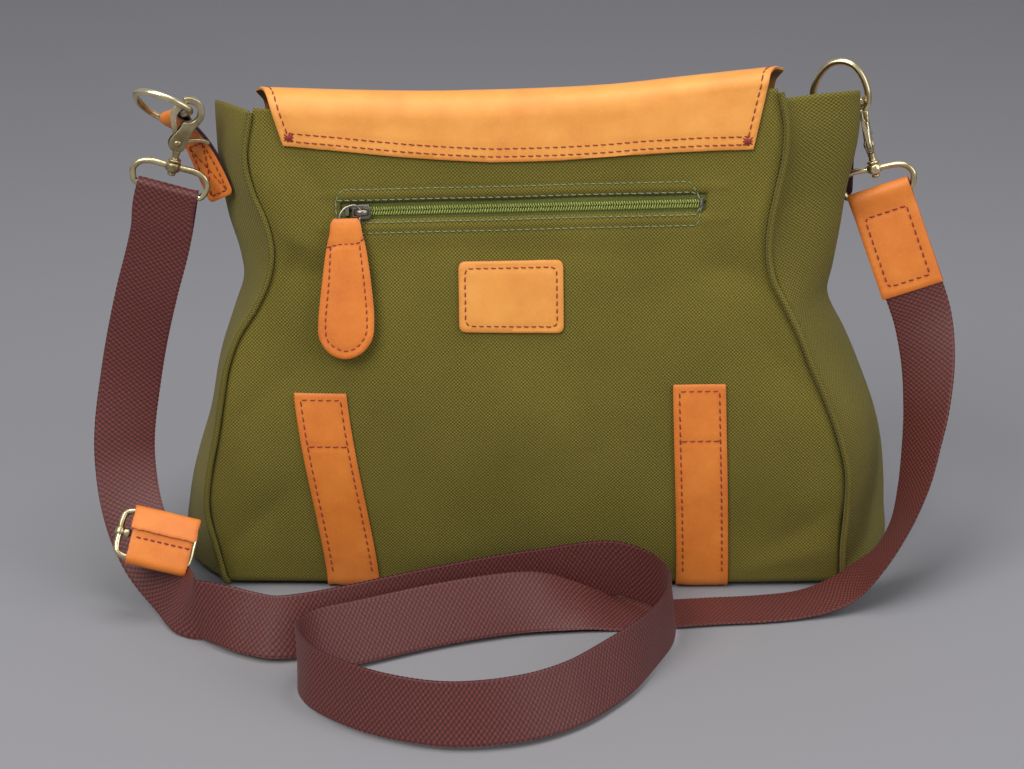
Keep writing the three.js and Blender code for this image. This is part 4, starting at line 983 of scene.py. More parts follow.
def gusset(side, label):
    back_top = min(GUSSET_TOP, mouth_top(160 * side) - 1)

    def cloth(u, v):
        top = back_top - MOUTH_DROP * u + GUSSET_RISE * math.sin(math.pi * u)
        return u * 120, lerp(LOWEST_W, top, v)

    def point(u, v):
        return gusset_point(side, lerp(0.015, 0.985, u), cloth(u, v)[1])

    obj = grid(f"canvas_gusset_{label}", 56, 120, point, cloth, CANVAS_CLOTH)
    outward = obj.data.polygons[len(obj.data.polygons) // 2].normal.x * side
    thicken(obj, CANVAS, 1.0 if outward < 0 else -1.0)
    return keep(obj, "bag", "canvas", f"gusset_{label}")


def base_panel():
    """The base sags a little to the surface between its edges and the leather straps."""
    def point(u, v):
        left = gusset_point(-1, v, LOWEST_W).x
        right = gusset_point(1, v, LOWEST_W).x
        x = lerp(left, right, u)
        depth = face_depth(1, x, TURN_TOP) - BASE_RADIUS
        y = lerp(-depth, depth, v)
        near = min(u, 1 - u, v, 1 - v) / 0.10
        strap = min(abs(x - middle) for middle in CLOSURES.values())
        sag = 1.5 * smooth(near) * smooth((strap - 19) / 10)
        return Vector((x, y, BASE_Z - sag))

    obj = grid("canvas_base", 90, 26, point, lambda u, v: (u * 410, v * 110), CANVAS_CLOTH)
    obj.data.flip_normals()
    thicken(obj, CANVAS, -1.0)
    return keep(obj, "bag", "canvas", "base_panel")


def piping(side, direction):
    """A cord covered in the same canvas, sewn into the seam between a face and a gusset."""
    rows = PIPE_LEFT if side < 0 else PIPE_RIGHT
    top = mouth_top(160 * side) - 2 - (MOUTH_DROP if direction > 0 else 0)
    heights = [300, 280, 260, 240, 222, 205, 188, 170, 150, 130, 105, 80, 55, 30, 14, 8]
    heights = [top] + [z for z in heights if z < top - 8]
    points = [(curve_at(rows, z), direction * (curve_at(EDGE_DEPTH, z) + 0.2), z) for z in heights]
    foot_x, foot_y, _ = points[-1]
    points.append((foot_x - side * 1.2, foot_y - direction * 2.0, 4.4))
    points.append((foot_x - side * 2.6, foot_y - direction * 5.0, 2.9))
    path = catmull(points, per_span=9)
    label = f"{'front' if direction > 0 else 'back'}_{'left' if side < 0 else 'right'}"
    obj = tube(f"piping_cord_{label}", path, PIPING_RADIUS, CANVAS_CLOTH, sides=12)
    return keep(obj, "bag", "canvas", f"piping_{label}")


def lining():
    """An open cloth bag inside the canvas. It comes out to the canvas at the mouth."""
    heights = [9.2, 9.4, 10.2, 14, 24, 45, 70, 100, 130, 160, 190, 215, 240, 260, 273, 280, 285, 288]

    def ring(u, v):
        place = v * (len(heights) - 1)
        k = min(int(place), len(heights) - 2)
        z = lerp(heights[k], heights[k + 1], place - k)
        outward = smooth((z - 264) / 22)
        gap = 8.5 - 6.3 * outward
        quarter = (u * 4) % 1
        part = int(u * 4) % 4
        ease = smooth((14 - z) / 5)
        if part in (0, 2):
            direction = -1 if part == 0 else 1
            left = curve_at(PIPE_LEFT, z) + gap + 2
            right = curve_at(PIPE_RIGHT, z) - gap - 2
            x = lerp(left, right, quarter if part == 0 else 1 - quarter)
            y = direction * (face_depth(direction, x, z) - gap)
        else:
            side = 1 if part == 1 else -1
            t = quarter if part == 1 else 1 - quarter
            edge = curve_at(EDGE_DEPTH, z) - gap
            seam = curve_at(PIPE_LEFT if side < 0 else PIPE_RIGHT, z)
            pipe = seam - side * (gap + 2)
            bulge = gusset_x(side, t, z) - seam
            x = pipe + bulge * (0.80 + 0.17 * outward)
            y = lerp(-edge, edge, t)
        shrink = 1 - 0.96 * smooth((10.2 - z) / 1.0)
        height = z - LINING_DROP * smooth((z - 240) / 48)
        return Vector((x * lerp(1, 0.97, ease) * shrink, y * lerp(1, 0.95, ease) * shrink, height))

    obj = grid("lining_cloth_bag", 160, 68, ring, lambda u, v: (u * 1000, v * 320), LINING_CLOTH,
               closed=True)
    thicken(obj, 0.7, 0.0)
    return keep(obj, "bag", "lining_cloth", "lining")


def base_board():
    outline = rounded(oblong(-186, -52, 183, 52), 14)
    points = [(p.x, p.y, z) for z in (5.2, 7.4) for p in outline]
    obj = new_object("stiffening_board", points, prism_faces(len(outline)), [BOARD], smooth_angle=40)
    return keep(obj, "bag", "board", "base_board")


# ------------------------------------------------------------------ sewn leather
def stitch_points(path, surface, lift, pitch=STITCH_PITCH, length=STITCH_LENGTH, closed=False):
    """Where each stitch of a row starts and ends, on a surface given by surface(a, b, offset)."""
    pts = [Vector(p[:2]) for p in path]
    if closed:
        pts.append(pts[0])
    lengths = [0.0]
    for a, b in zip(pts, pts[1:]):
        lengths.append(lengths[-1] + (b - a).length)
    count = max(1, round(lengths[-1] / pitch))
    step = lengths[-1] / count

    def at(s):
        s = min(max(s, 0), lengths[-1])
        k = 0
        while k < len(lengths) - 2 and lengths[k + 1] < s:
            k += 1
        return pts[k].lerp(pts[k + 1], (s - lengths[k]) / max(lengths[k + 1] - lengths[k], 1e-6))

    stitches = []
    for i in range(count):
        share = length / pitch
        a = at((i + 0.5 - share / 2) * step)
        b = at((i + 0.5 + share / 2) * step)
        skew = Vector((a.y - b.y, b.x - a.x)) * 0.04
        a = a + skew
        b = b - skew
        stitches.append([surface(*p, lift) for p in (a, a.lerp(b, 0.5), b)]
                        + [(surface(*a, lift + 1) - surface(*a, lift)).normalized()])
    return stitches


def sewn_rows(rows, surface, lift, step, pitch=STITCH_PITCH, length=STITCH_LENGTH):
    """The stitches of several rows, each first divided into steps."""
    runs = []
    for row in rows:
        runs += stitch_points(walk(row, step), surface, lift, pitch, length)
    return runs


def stitches(name, runs, thread, body, slot, radius=THREAD):
    """One mesh of short, slightly arched threads."""
    points = []
    faces = []
    profile = [(0.0, -0.9, 0.45), (0.16, -0.1, 0.95), (0.5, 0.42, 1.0), (0.84, -0.1, 0.95),
               (1.0, -0.9, 0.45)]
    sides = 6
    for start, middle, end, normal in runs:
        along = (end - start).normalized()
        side = along.cross(normal).normalized()
        up = side.cross(along)
        base = len(points)
        bow = middle - (start + end) / 2
        for t, rise, size in profile:
            centre = start.lerp(end, t) + bow * (4 * t * (1 - t)) + up * rise * radius
            for k in range(sides):
                angle = 2 * math.pi * k / sides
                points.append(centre + (side * math.cos(angle) + up * math.sin(angle)) * radius * size)
        faces += loft_faces(len(profile), sides, base=base)
    obj = new_object(name, points, faces, [thread])
    face_outwards(obj)
    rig.slot(obj, slot)
    if body:
        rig.ride(obj, body)
    return obj


def leather(name, outline, surface, thickness, rows=(), spacing=3.0, base=0.0, swell=0.0,
            materials=None, rough=0.0):
    """A piece cut from leather: an outline in flat millimetres laid on surface(a, b, offset).

    rows are its stitch rows, which press grooves into its face. base is the offset of its underside.
    swell lifts the middle of the piece above its edges.
    """
    rim = walk(outline, spacing * 0.6, closed=True)
    if rough:
        rim = [p + Vector((noise.noise(Vector((p.x * 0.6, p.y * 0.6, 3))),
                           noise.noise(Vector((p.x * 0.6, p.y * 0.6, 9))))) * rough for p in rim]
    inner = inset(rim, 0.7)
    xs = [p.x for p in rim]
    ys = [p.y for p in rim]
    lattice = []
    j = 0
    y = min(ys)
    while y < max(ys):
        x = min(xs) + (0.5 * spacing if j % 2 else 0)
        while x < max(xs):
            lattice.append((x, y))
            x += spacing
        y += spacing * 0.866
        j += 1
    lattice = np.array(lattice)
    loop = [tuple(p[:2]) for p in rim]
    away = path_distance(loop + loop[:1], lattice)
    lattice = lattice[inside(loop, lattice) & (away > 0.7 + 0.45 * spacing)]
    n = len(rim)
    verts = [Vector(p[:2]) for p in rim] + [Vector(p[:2]) for p in inner] + [Vector(p) for p in lattice]
    edges = [(i, (i + 1) % n) for i in range(n)] + [(n + i, n + (i + 1) % n) for i in range(n)]
    flat, _, tris, _, _, _ = delaunay_2d_cdt(verts, edges, [list(range(n))], 1, 1e-5)
    plan = np.array([tuple(p) for p in flat])
    edge_away = path_distance(loop + loop[:1], plan)
    groove = np.zeros(len(plan))
    for row in rows:
        groove += 0.42 * np.exp(-(path_distance([tuple(p[:2]) for p in row], plan) / 1.15) ** 2)
    on_rim = edge_away < 0.05
    top = []
    low = []
    for p, away, dip, at_rim in zip(plan, edge_away, groove, on_rim):
        grain = 0.10 * noise.noise(Vector((p[0] * 0.12, p[1] * 0.12, 2.0)))
        lift = swell * smooth(away / 14)
        top.append(surface(p[0], p[1], base + thickness + lift + grain - dip - (0.5 if at_rim else 0)))
        low.append(surface(p[0], p[1], base + lift * 0.6 + (0.25 if at_rim else 0)))
    count = len(plan)
    faces = [tuple(t) for t in tris]
    kinds = [0] * len(faces)
    directed = {}
    for t in tris:
        for a, b in zip(t, list(t[1:]) + [t[0]]):
            directed[(a, b)] = True
    faces += [tuple(count + i for i in reversed(t)) for t in tris]
    kinds += [1] * len(tris)
    for a, b in directed:
        if (b, a) not in directed:
            faces.append((b, a, count + a, count + b))
            kinds.append(1)
    face, cut = materials or (LEATHER_FACE, LEATHER_EDGE)
    obj = new_object(name, top + low, faces, [face, cut], face_material=kinds)
    face_outwards(obj)
    obj.data.set_sharp_from_angle(angle=math.radians(52))
    set_cloth(obj, [tuple(p) for p in plan] * 2)
    # Darker towards the cut edges, and painted shade in the stitch grooves.
    edge_darkening_and_groove_shade = np.clip(1.0 - edge_away / 2.4, 0, 1) * 0.8 + np.clip(groove, 0, 0.4) * 0.6
    set_value(obj, "edge", list(edge_darkening_and_groove_shade) * 2)
    return obj


def on_back(a, b, offset):
    return face_point(-1, a, b, offset)


def back_label():
    """The label is left blank."""
    outline = rounded([(-48.5, 174.5), (16, 174), (15.5, 218.5), (-49, 217.5)], 4.5)
    row = rounded([(-44.5, 178.5), (12, 178), (11.5, 214.5), (-45, 213.5)], 3.0)
    row.append(row[0])
    obj = leather("label_leather", outline, on_back, 1.9, [row], 2.2, GAP, swell=0.3)
    keep(obj, "bag", "leather", "back_label")
    runs = stitch_points(row, on_back, GAP + 1.75, 4.6, 3.4)
    stitches("label_stitches", runs, RED_THREAD, "bag", "leather")


def yoke_low(x):
    return curve_at([[-157, 288], [-121, 285], [-85, 281.5], [-29, 278.5], [13, 279.5], [62, 283],
                     [99, 285], [131, 286]], x)


def strap_surface(top_x, low_x, top):
    """A base strap's surface: b runs down the back face, under the base and up the front."""
    depth = face_depth(1, low_x, TURN_TOP) - BASE_RADIUS
    back = top - LOWEST_W
    under = 2 * depth

    def surface(a, b, offset):
        if b < back:
            w = top - b
            middle = lerp(top_x, low_x, smooth(b / (top - 10)) * 0.35 + 0.65 * min(b / (top - 10), 1))
            return face_point(-1, middle + a, w, offset)
        if b < back + under:
            return Vector((low_x + a, b - back - depth, BASE_Z - offset))
        return face_point(1, low_x + a, LOWEST_W + b - back - under, offset)
    return surface, back + under


def base_strap(label, top_x, low_x, top, cross_at):
    surface, turn = strap_surface(top_x, low_x, top)
    length = turn + FRONT_STRAP_TOP - LOWEST_W
    h = BASE_STRAP_HALF
    outline = rounded(oblong(-h, 0, h, length), 1.2)
    edge = 4.0
    sides = [[(s * (h - edge), edge), (s * (h - edge), length - edge)] for s in (-1, 1)]
    cross = [[(-h + edge, y), (h - edge, y)] for y in (edge, cross_at, length - edge)]
    obj = leather(f"base_strap_leather_{label}", outline, surface, 1.85, sides + cross, 3.0, GAP,
                  materials=DEEP)
    keep(obj, "bag", "leather", f"base_strap_{label}")
    runs = []
    flat_from = top - TURN_TOP - 4
    flat_to = turn + TURN_TOP + 4
    for row in sides:
        x = row[0][0]
        runs += stitch_points([(x, edge), (x, flat_from)], surface, GAP + 1.7)
        runs += stitch_points([(x, flat_to), (x, length - edge)], surface, GAP + 1.7)
    for row in cross:
        runs += stitch_points(row, surface, GAP + 1.7)
    stitches(f"base_strap_stitches_{label}", runs, RED_THREAD, "bag", "leather")


def zip_stitches():
    runs = []
    for row in FRAME_ROWS:
        runs += stitch_points(row, on_back, 0.02, 4.6, 3.5, closed=True)
    stitches("zip_frame_stitches", runs, SAGE_THREAD, "bag", "canvas", 0.36)


# ------------------------------------------------------------------ zip
def zip_frame():
    angle = math.atan2(ZIP_END[1] - ZIP_START[1], ZIP_END[0] - ZIP_START[0])
    lean = math.atan(0.14)
    x = Vector((math.cos(angle), 0, math.sin(angle)))
    n = x.cross(Vector((0, -math.cos(lean), math.sin(lean)))).cross(x).normalized()
    return Vector((ZIP_START[0], ZIP_FACE, ZIP_START[1])), x, n.cross(x), n


ZIP_ORIGIN, ZIP_X, ZIP_Y, ZIP_N = zip_frame()
ZIP_LENGTH = math.hypot(ZIP_END[0] - ZIP_START[0], ZIP_END[1] - ZIP_START[1])
PULL_Y = (ZIP_Y - ZIP_N * PULL_LEAN).normalized()
PULL_N = ZIP_X.cross(PULL_Y)


def in_zip(along, up, out):
    return ZIP_ORIGIN + ZIP_X * along + ZIP_Y * up + ZIP_N * out


def in_pull(along, up, out):
    return ZIP_ORIGIN + ZIP_X * along + PULL_Y * up + PULL_N * out


def block(name, outline, low, high, place, material, bevel=0.3, segments=2):
    """A flat outline given a thickness and rounded edges. place(x, y, out) puts it in the bag."""
    points = [place(p[0], p[1], h) for h in (low, high) for p in outline]
    obj = new_object(name, points, prism_faces(len(outline)), [material])
    face_outwards(obj)
    if bevel:
        round_edges(obj, bevel, segments, 40, True)
    return obj


def zip_chain():
    """Tape, a coil of nylon loops on each half, a near-black strip of painted shade in the gap between them, the stops
    and the pocket.
    """
    def tape(label, low, high):
        def point(u, v):
            up = lerp(low, high, v)
            ridge = 0.8 * math.exp(-((up / 3.6) ** 2 - 1.6) ** 2)
            return in_zip(lerp(-14, ZIP_LENGTH + 9, u), up, ridge - 4.0)

        obj = grid(f"zip_tape_{label}", 80, 4, point, lambda u, v: (u * 225, lerp(low, high, v)), TAPE_CLOTH)
        thicken(obj, 0.6, 1.0 if obj.data.polygons[0].normal.y > 0 else -1.0)
        keep(obj, "bag", "zip_tape", "zip_tape")

    tape("upper", 0.15, 12)
    tape("lower", -12, -0.15)
    loops = round(ZIP_LENGTH / COIL_PITCH)
    for label, side in (("upper", 1), ("lower", -1)):
        path = []
        for i in range(loops * 10):
            turn = 2 * math.pi * i / 10
            along = ZIP_LENGTH * i / (loops * 10) + (0.4 if side > 0 else 0)
            up = side * (1.30 + 1.15 * math.cos(turn))
            path.append(in_zip(along, up, -2.6 + 0.75 * math.sin(turn)))
        keep(tube(f"zip_coil_{label}", path, 0.34, COIL_PLASTIC, sides=5), "bag", "zip_coil", "zip_coil")
    # A near-black strip of painted shade in the gap between the two coils.
    painted_gap_strip = block("zip_gap_painted_shade", oblong(0, -0.5, ZIP_LENGTH, 0.5), -3.4, -2.9, in_zip, PAINTED_GAP_SHADE, bevel=0)
    keep(painted_gap_strip, "bag", "zip_coil")
    for name, x0, x1, half in (("zip_stop_closed", -6.4, -3.8, 2.6),
                               ("zip_stop_open", ZIP_LENGTH, ZIP_LENGTH + 2.2, 3.1)):
        outline = rounded(oblong(x0, -half, x1, half), 0.5)
        stop = block(f"{name}_clip", outline, -3.6, -1.3, in_zip, BRONZE, 0.35)
        keep(stop, "bag", "zip_metal", name)

    def pocket_point(u, v):
        out = -6.2 - 0.8 * smooth(v * 3) + 0.5 * noise.noise(Vector((u * 9, v * 5, 1)))
        return in_zip(lerp(-12, ZIP_LENGTH + 8, u), lerp(10, -95, v), out)

    pocket = grid("zip_pocket_cloth", 60, 30, pocket_point, lambda u, v: (u * 220, v * 105), LINING_CLOTH)
    thicken(pocket, 0.5, 0.0)
    keep(pocket, "bag", "lining_cloth", "zip_pocket_bag")


def zip_slider():
    """Two winged plates over the coil, a domed bridge and a wire pull."""
    wing = rounded([(-1.8, -4.4), (6.4, -4.6), (9.4, -3.2), (9.4, 3.2), (6.4, 4.6), (-1.8, 4.4)],
                   [0.6, 1.6, 0.8, 0.8, 1.6, 0.6])
    plate = block("slider_plate", wing, -0.9, 0.5, in_zip, BRONZE, 0.35, 3)
    flanges = [block(f"slider_flange_{k}", rounded(oblong(-1.6, s * 3.4, 8.6, s * 4.5), 0.3), -3.3, -0.5,
                     in_zip, BRONZE, 0.25)
               for k, s in (("low", -1), ("high", 1))]
    arch = []
    for i in range(13):
        t = i / 12
        arch.append((lerp(-0.6, 8.0, t), 0.3 + 3.5 * math.sin(math.pi * min(max(t, 0.02), 0.98)) ** 0.55))
    points = []
    faces = []
    half = 1.9
    for x, out in arch:
        for up, rise in ((-half, -0.25), (-half * 0.5, 0.35), (0, 0.5), (half * 0.5, 0.35),
                         (half, -0.25)):
            points.append(in_zip(x, up, out + rise))
    for i in range(len(arch) - 1):
        for k in range(4):
            faces.append((i * 5 + k, i * 5 + k + 1, i * 5 + k + 6, i * 5 + k + 5))
    bridge = new_object("slider_bridge", points, faces, [BRONZE])
    thicken(bridge, 0.8, 0.0)
    for piece in (plate, *flanges, bridge):
        keep(piece, "zip_slider", "zip_metal")
    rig.replaces(plate, "zip_slider")
    pull = [(3.6, 0, 2.0), (0.4, 4.2, 2.1), (-6.4, 2.6, 2.4), (-9.8, -3, 2.8), (-9.2, -9.6, 2.9),
            (-5.5, -11.2, 2.9), (-0.5, -9.4, 2.9), (2.6, -4.6, 2.4)]
    path = catmull([in_pull(*p) for p in pull], closed=True, per_span=8)
    keep(tube("pull_wire", path, 0.85, BRONZE, closed=True, sides=12), "zip_puller", "zip_metal", "zip_pull")


def zip_puller():
    """Two leather layers sewn round the edge, with the wire in a fold at the top."""
    head = [(-13.5, -6.0), (1.5, -6.0)]
    body = [(4.2, -16), (6.2, -26), (8.4, -46), (9.6, -69), (7.6, -82), (0, -90.5), (-10, -93), (-19, -89),
            (-24.6, -80), (-25, -71), (-21.8, -46), (-18.6, -26), (-16.2, -16)]
    outline = rounded(head, 0) + catmull(head + body, closed=True, per_span=4)[4:]

    def crown(a, b, offset):
        return in_pull(a, b + 2.5, 1.6 + offset + 0.7 * math.exp(-((b + 11) / 7) ** 2))

    left = [(-15.5, -22), (-17.5, -46), (-20.4, -71), (-19.6, -81)]
    bottom = [(-15, -85.5), (-9, -88), (-2, -86)]
    right = [(4.2, -78), (5.2, -69), (4.2, -46), (2.2, -22)]
    ring = catmull(left + bottom + right, per_span=5)
    cross = [(-18.6, -23.5), (-10, -21.5), (1.4, -21.5), (5.4, -17.8)]
    obj = leather("puller_leather", outline, crown, 2.5, [ring, cross], 1.9, swell=0.5, materials=DEEP)
    keep(obj, "zip_puller", "leather", "zip_puller")
    runs = stitch_points(ring, crown, 2.45, 4.4, 3.1) + stitch_points(cross, crown, 2.5, 3.6, 3.0)
    stitches("puller_stitches", runs, RED_THREAD, "zip_puller", "leather", 0.36)


# ------------------------------------------------------------------ flap
def flap_profile(x):
    """Middle line of the flap at one place across, from its sewn back edge to its free front edge."""
    crest = curve_at(FLAP_CREST, x)
    low = yoke_low(x)
    high = crest - 8
    back = [(-(face_depth(-1, x, z) + GAP), z)
            for z in (low, lerp(low, high, 0.33), lerp(low, high, 0.66), high)]
    top = [(y, crest - drop) for y, drop in ((-33.5, 2.6), (-27.0, 0.0), (-17.0, 0.9), (-4.0, 5.6),
                                             (10.0, 11.2), (24.0, 17.0), (35.0, 22.5), (41.5, 30.0))]
    front = [(face_depth(1, x, z) + FLAP_GAP, z)
             for z in (crest - 39, crest - 62, 230, 195, 160, 125, FLAP_LOW)]
    return back + top + front


FLAP_SAMPLES = {}


def flap_line(x):
    """The flap's profile at x as densely sampled points with their running length."""
    key = round(x * 2) / 2
    if key not in FLAP_SAMPLES:
        control = flap_profile(key)
        pts = catmull([(0, y, z) for y, z in control], per_span=FLAP_SPAN)
        lengths = [0.0]
        for a, b in zip(pts, pts[1:]):
            lengths.append(lengths[-1] + (b - a).length)
        FLAP_SAMPLES[key] = (pts, lengths, lengths[FLAP_SPLIT * FLAP_SPAN])
    return FLAP_SAMPLES[key]


def on_flap(a, b, offset):
    """b is the length along the flap from the split on its top: back is negative, front positive."""
    pts, lengths, split = flap_line(a)
    s = min(max(b + split, 0.0), lengths[-1] - 1e-4)
    k = int(np.searchsorted(lengths, s, side="right")) - 1
    k = min(k, len(pts) - 2)
    t = (s - lengths[k]) / (lengths[k + 1] - lengths[k])
    p = pts[k].lerp(pts[k + 1], t)
    direction = pts[min(k + 2, len(pts) - 1)] - pts[max(k - 1, 0)]
    normal = Vector((0, -direction.z, direction.y)).normalized()
    wave = 0.8 * noise.noise(Vector((a * 0.012, b * 0.012, 7.0))) * smooth((abs(b) - 6) / 40) * (b > 0)
    p = p + normal * (offset + wave)
    return Vector((a, p.y, p.z))


def bend(piece, fold):
    """Lets a piece turn with the flap at one of its folds."""
    bodies, start, end = fold
    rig.blend(piece, *bodies, start=to_frame(start), end=to_frame(end))


def flap_half(name, outline, rows, fold, nodes, spacing):
    piece = leather(name, outline, on_flap, LEATHER, rows, spacing)
    bend(piece, fold)
    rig.slot(piece, "leather")
    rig.replaces(piece, *nodes)


def flap_thread(name, runs, fold, radius=THREAD):
    bend(stitches(name, runs, RED_THREAD, None, "leather", radius), fold)


def flap():
    """One leather piece from the sewn yoke over the top to the free edge, seen as two halves."""
    low = [(x, -flap_line(x)[2]) for x in YOKE_CORNERS]
    low[0] = (-155.5, -flap_line(-155.5)[2])
    first_x, first_y = low[0]
    last_x, last_y = low[-1]
    left = FLAP_LEFT
    right = FLAP_RIGHT
    back = low + [(141, -42), (right, -12), (right, 0), (left, 0), (left, -14), (-166, -42)]
    front_end = min(flap_line(x)[1][-1] - flap_line(x)[2] for x in (-150, 0, 140)) - 1
    front = rounded([(left, 0), (right, 0), (right - 4, front_end * 0.5), (right - 9, front_end),
                     (left + 9, front_end), (left + 4, front_end * 0.5)], [0, 0, 20, 30, 30, 20], 9)
    m = 4.5
    back_rows = []
    for d in (3.4, 8.2):
        back_rows.append([(first_x + 1.5 + d * 0.2, first_y + d)] + [(x, y + d) for x, y in low[1:-1]]
                         + [(last_x - 1.5, last_y + d)])
    back_rows.append([(first_x + m, first_y + 2.5), (-166 + m, -42), (left + m, -14), (left + m, -1)])
    back_rows.append([(last_x - m, last_y + 2.5), (141 - m, -42), (right - m, -12), (right - m, -1)])
    front_row = [p for p in inset(front, m) if p.y > 2]
    front_row.sort(key=lambda p: math.atan2(p.x + 12, 60 - p.y))
    flap_half("flap_leather_back", back, back_rows, BACK_FOLD, ["flap_yoke", "flap_top"], 2.6)
    flap_half("flap_leather_front", front, [front_row], FRONT_FOLD, ["flap_front"], 4.0)
    flap_thread("yoke_stitches", sewn_rows(back_rows, on_flap, LEATHER - 0.1, 6), BACK_FOLD)
    flap_thread("flap_stitches", sewn_rows([front_row], on_flap, LEATHER - 0.1, 6), FRONT_FOLD)
    knots = []
    for x, y, lean in ((first_x + 3.5, first_y + 5.5, 1), (last_x - 3.5, last_y + 5.5, -1)):
        for dx, dy in ((3.2, 2.4), (3.2, -2.4), (0.6, 3.2), (3.4, 0.2)):
            knots.append([on_flap(x - dx, y - dy * lean, LEATHER), on_flap(x, y, LEATHER + 0.3),
                          on_flap(x + dx, y + dy * lean, LEATHER),
                          (on_flap(x, y, 3) - on_flap(x, y, 2)).normalized()])
    flap_thread("yoke_knots", knots, BACK_FOLD, 0.5)


# ------------------------------------------------------------------ rings and tabs
def ring_frame(middle, bar, out):
    """The middle of the straight bar, the bar's direction, the round side and the ring's normal."""
    x = Vector(bar).normalized()
    y = Vector(out)
    y = (y - x * y.dot(x)).normalized()
    return Vector(middle), x, y, x.cross(y)


def in_frame(axes, x, y, n=0.0):
    return axes[0] + axes[1] * x + axes[2] * y + axes[3] * n


def bent_wire(name, axes, outline, radius, per_span, sides=20):
    """A closed ring of round wire along an outline."""
    path = catmull([in_frame(axes, x, y) for x, y in outline], closed=True, per_span=per_span)
    return tube(name, path, radius, BRASS, closed=True, sides=sides)


LEFT_RING = ring_frame((-220.6, -27.4, 303.7), (0.60, -0.72, 0.35), (-0.62, -0.45, 0.64))
RIGHT_RING = ring_frame((190.2, 20.0, 295.9), (-0.92, 0.39, 0), (-0.05, 0.1, 0.99))


def d_ring(label, axes):
    w = RING_HALF_WIDTH
    h = RING_HEIGHT
    right = [(w - 3, 0), (w - 0.6, 1.4), (w + 0.4, 5), (w - 0.6, 13), (w - 5, 22), (w - 10.5, 27.2)]
    ring = bent_wire(f"ring_wire_{label}", axes, mirrored((0, 0), right, (0, h)), RING_WIRE, 8)
    keep(ring, f"d_ring_{label}", "brass", f"d_ring_{label}")


def ring_tab(label, axes, foot, outward, shift, bow, straight, foot_width=None):
    """A leather tab folded over the ring's bar, with a boxed cross of stitching and a painted edge."""
    middle, width, _, _ = axes
    foot = Vector(foot)
    rise = middle - foot
    up = (rise - width * rise.dot(width)).normalized()
    normal = width.cross(up).normalized()
    if normal.dot(Vector(outward)) < 0:
        normal = -normal
    reach = rise.dot(up)
    low_width = Vector(foot_width).normalized() if foot_width else width
    turn = 3.5

    def bent(s):
        """Height and distance out of the tab's outer face at length s along it, from the foot up."""
        if s < reach - 9:
            return s, 1.15
        if s < reach:
            t = smooth((s - reach + 9) / 9)
            return s, lerp(1.15, turn, t)
        angle = (s - reach) / turn
        if angle < math.pi:
            return reach + turn * math.sin(angle), turn * math.cos(angle)
        back = s - reach - math.pi * turn
        return reach - back, -lerp(turn, 1.15, smooth(back / 9))

    def surface(a, b, offset):
        s, n = bent(b)
        s2, n2 = bent(b + 0.2)
        along = Vector((s2 - s, n2 - n, 0)).normalized()
        s -= along.y * (offset - 0.95)
        share = min(max(s / reach, 0), 1)
        n += along.x * (offset - 0.95) - bow * math.sin(math.pi * share)
        side = width.lerp(low_width, smooth((1 - share) * 1.2))
        side = (side - up * side.dot(up)).normalized()
        out = side.cross(up).normalized()
        if out.dot(normal) < 0:
            out = -out
        return middle + up * (s - reach) + out * n + side * (a + shift)

    length = reach + math.pi * turn + reach * 0.65
    h = TAB_WIDTH / 2
    outline = rounded(oblong(-h, 0, h, length), [4, 4, 2, 2])
    m = 3.6
    box = oblong(-h + m, m, h - m, straight)
    rows = [box + box[:1], [box[0], box[2]], [box[1], box[3]]]
    obj = leather(f"tab_leather_{label}", outline, surface, 1.9, rows, 2.2,
                  materials=(LEATHER_DEEP, PURPLE_EDGE))
    keep(obj, "bag", "leather", f"tab_{label}")
    runs = sewn_rows(rows, surface, 1.85, 3, 4.2, 3.2)
    stitches(f"tab_stitches_{label}", runs, RED_THREAD, "bag", "leather")


# ------------------------------------------------------------------ trigger hooks
def hook_frame(grip, up, through, seat):
    y = Vector(up).normalized()
    n = Vector(through)
    n = (n - y * n.dot(y)).normalized()
    x = y.cross(n)
    return grip + y * seat[1] + x * seat[0], x, y, n


def arc(r, start, end, steps):
    angles = [math.radians(lerp(start, end, i / steps)) for i in range(steps + 1)]
    return [(r * math.cos(angle), r * math.sin(angle)) for angle in angles]


def turned(name, profile, axes, bevel=0.2):
    """A turned piece from [radius, height] rows, with the frame's normal as its axis."""
    origin, x, y, n = axes
    sides = TURNED_SIDES
    points = []
    for r, h in profile:
        for i in range(sides):
            angle = 2 * math.pi * i / sides
            points.append(origin + x * r * math.cos(angle) + y * r * math.sin(angle) + n * h)
    rows = len(profile)
    faces = [tuple(range(sides)), tuple(reversed(range((rows - 1) * sides, rows * sides)))]
    for j in range(rows - 1):
        for i in range(sides):
            k = (i + 1) % sides
            faces.append((j * sides + i, (j + 1) * sides + i, (j + 1) * sides + k, j * sides + k))
    obj = new_object(name, points, faces, [BRASS])
    face_outwards(obj)
    round_edges(obj, bevel, 2, 35, False)
    return obj


def apply_modifiers(obj):
    """Makes a piece's modifiers part of its mesh."""
    graph = bpy.context.evaluated_depsgraph_get()
    mesh = bpy.data.meshes.new_from_object(obj.evaluated_get(graph))
    obj.modifiers.clear()
    obj.data = mesh


def subtract(obj, tool):
    cutter = obj.modifiers.new("cut", "BOOLEAN")
    cutter.operation = "DIFFERENCE"
    cutter.solver = "EXACT"
    cutter.object = tool
    bpy.context.view_layer.update()
    apply_modifiers(obj)
    bpy.data.objects.remove(tool)


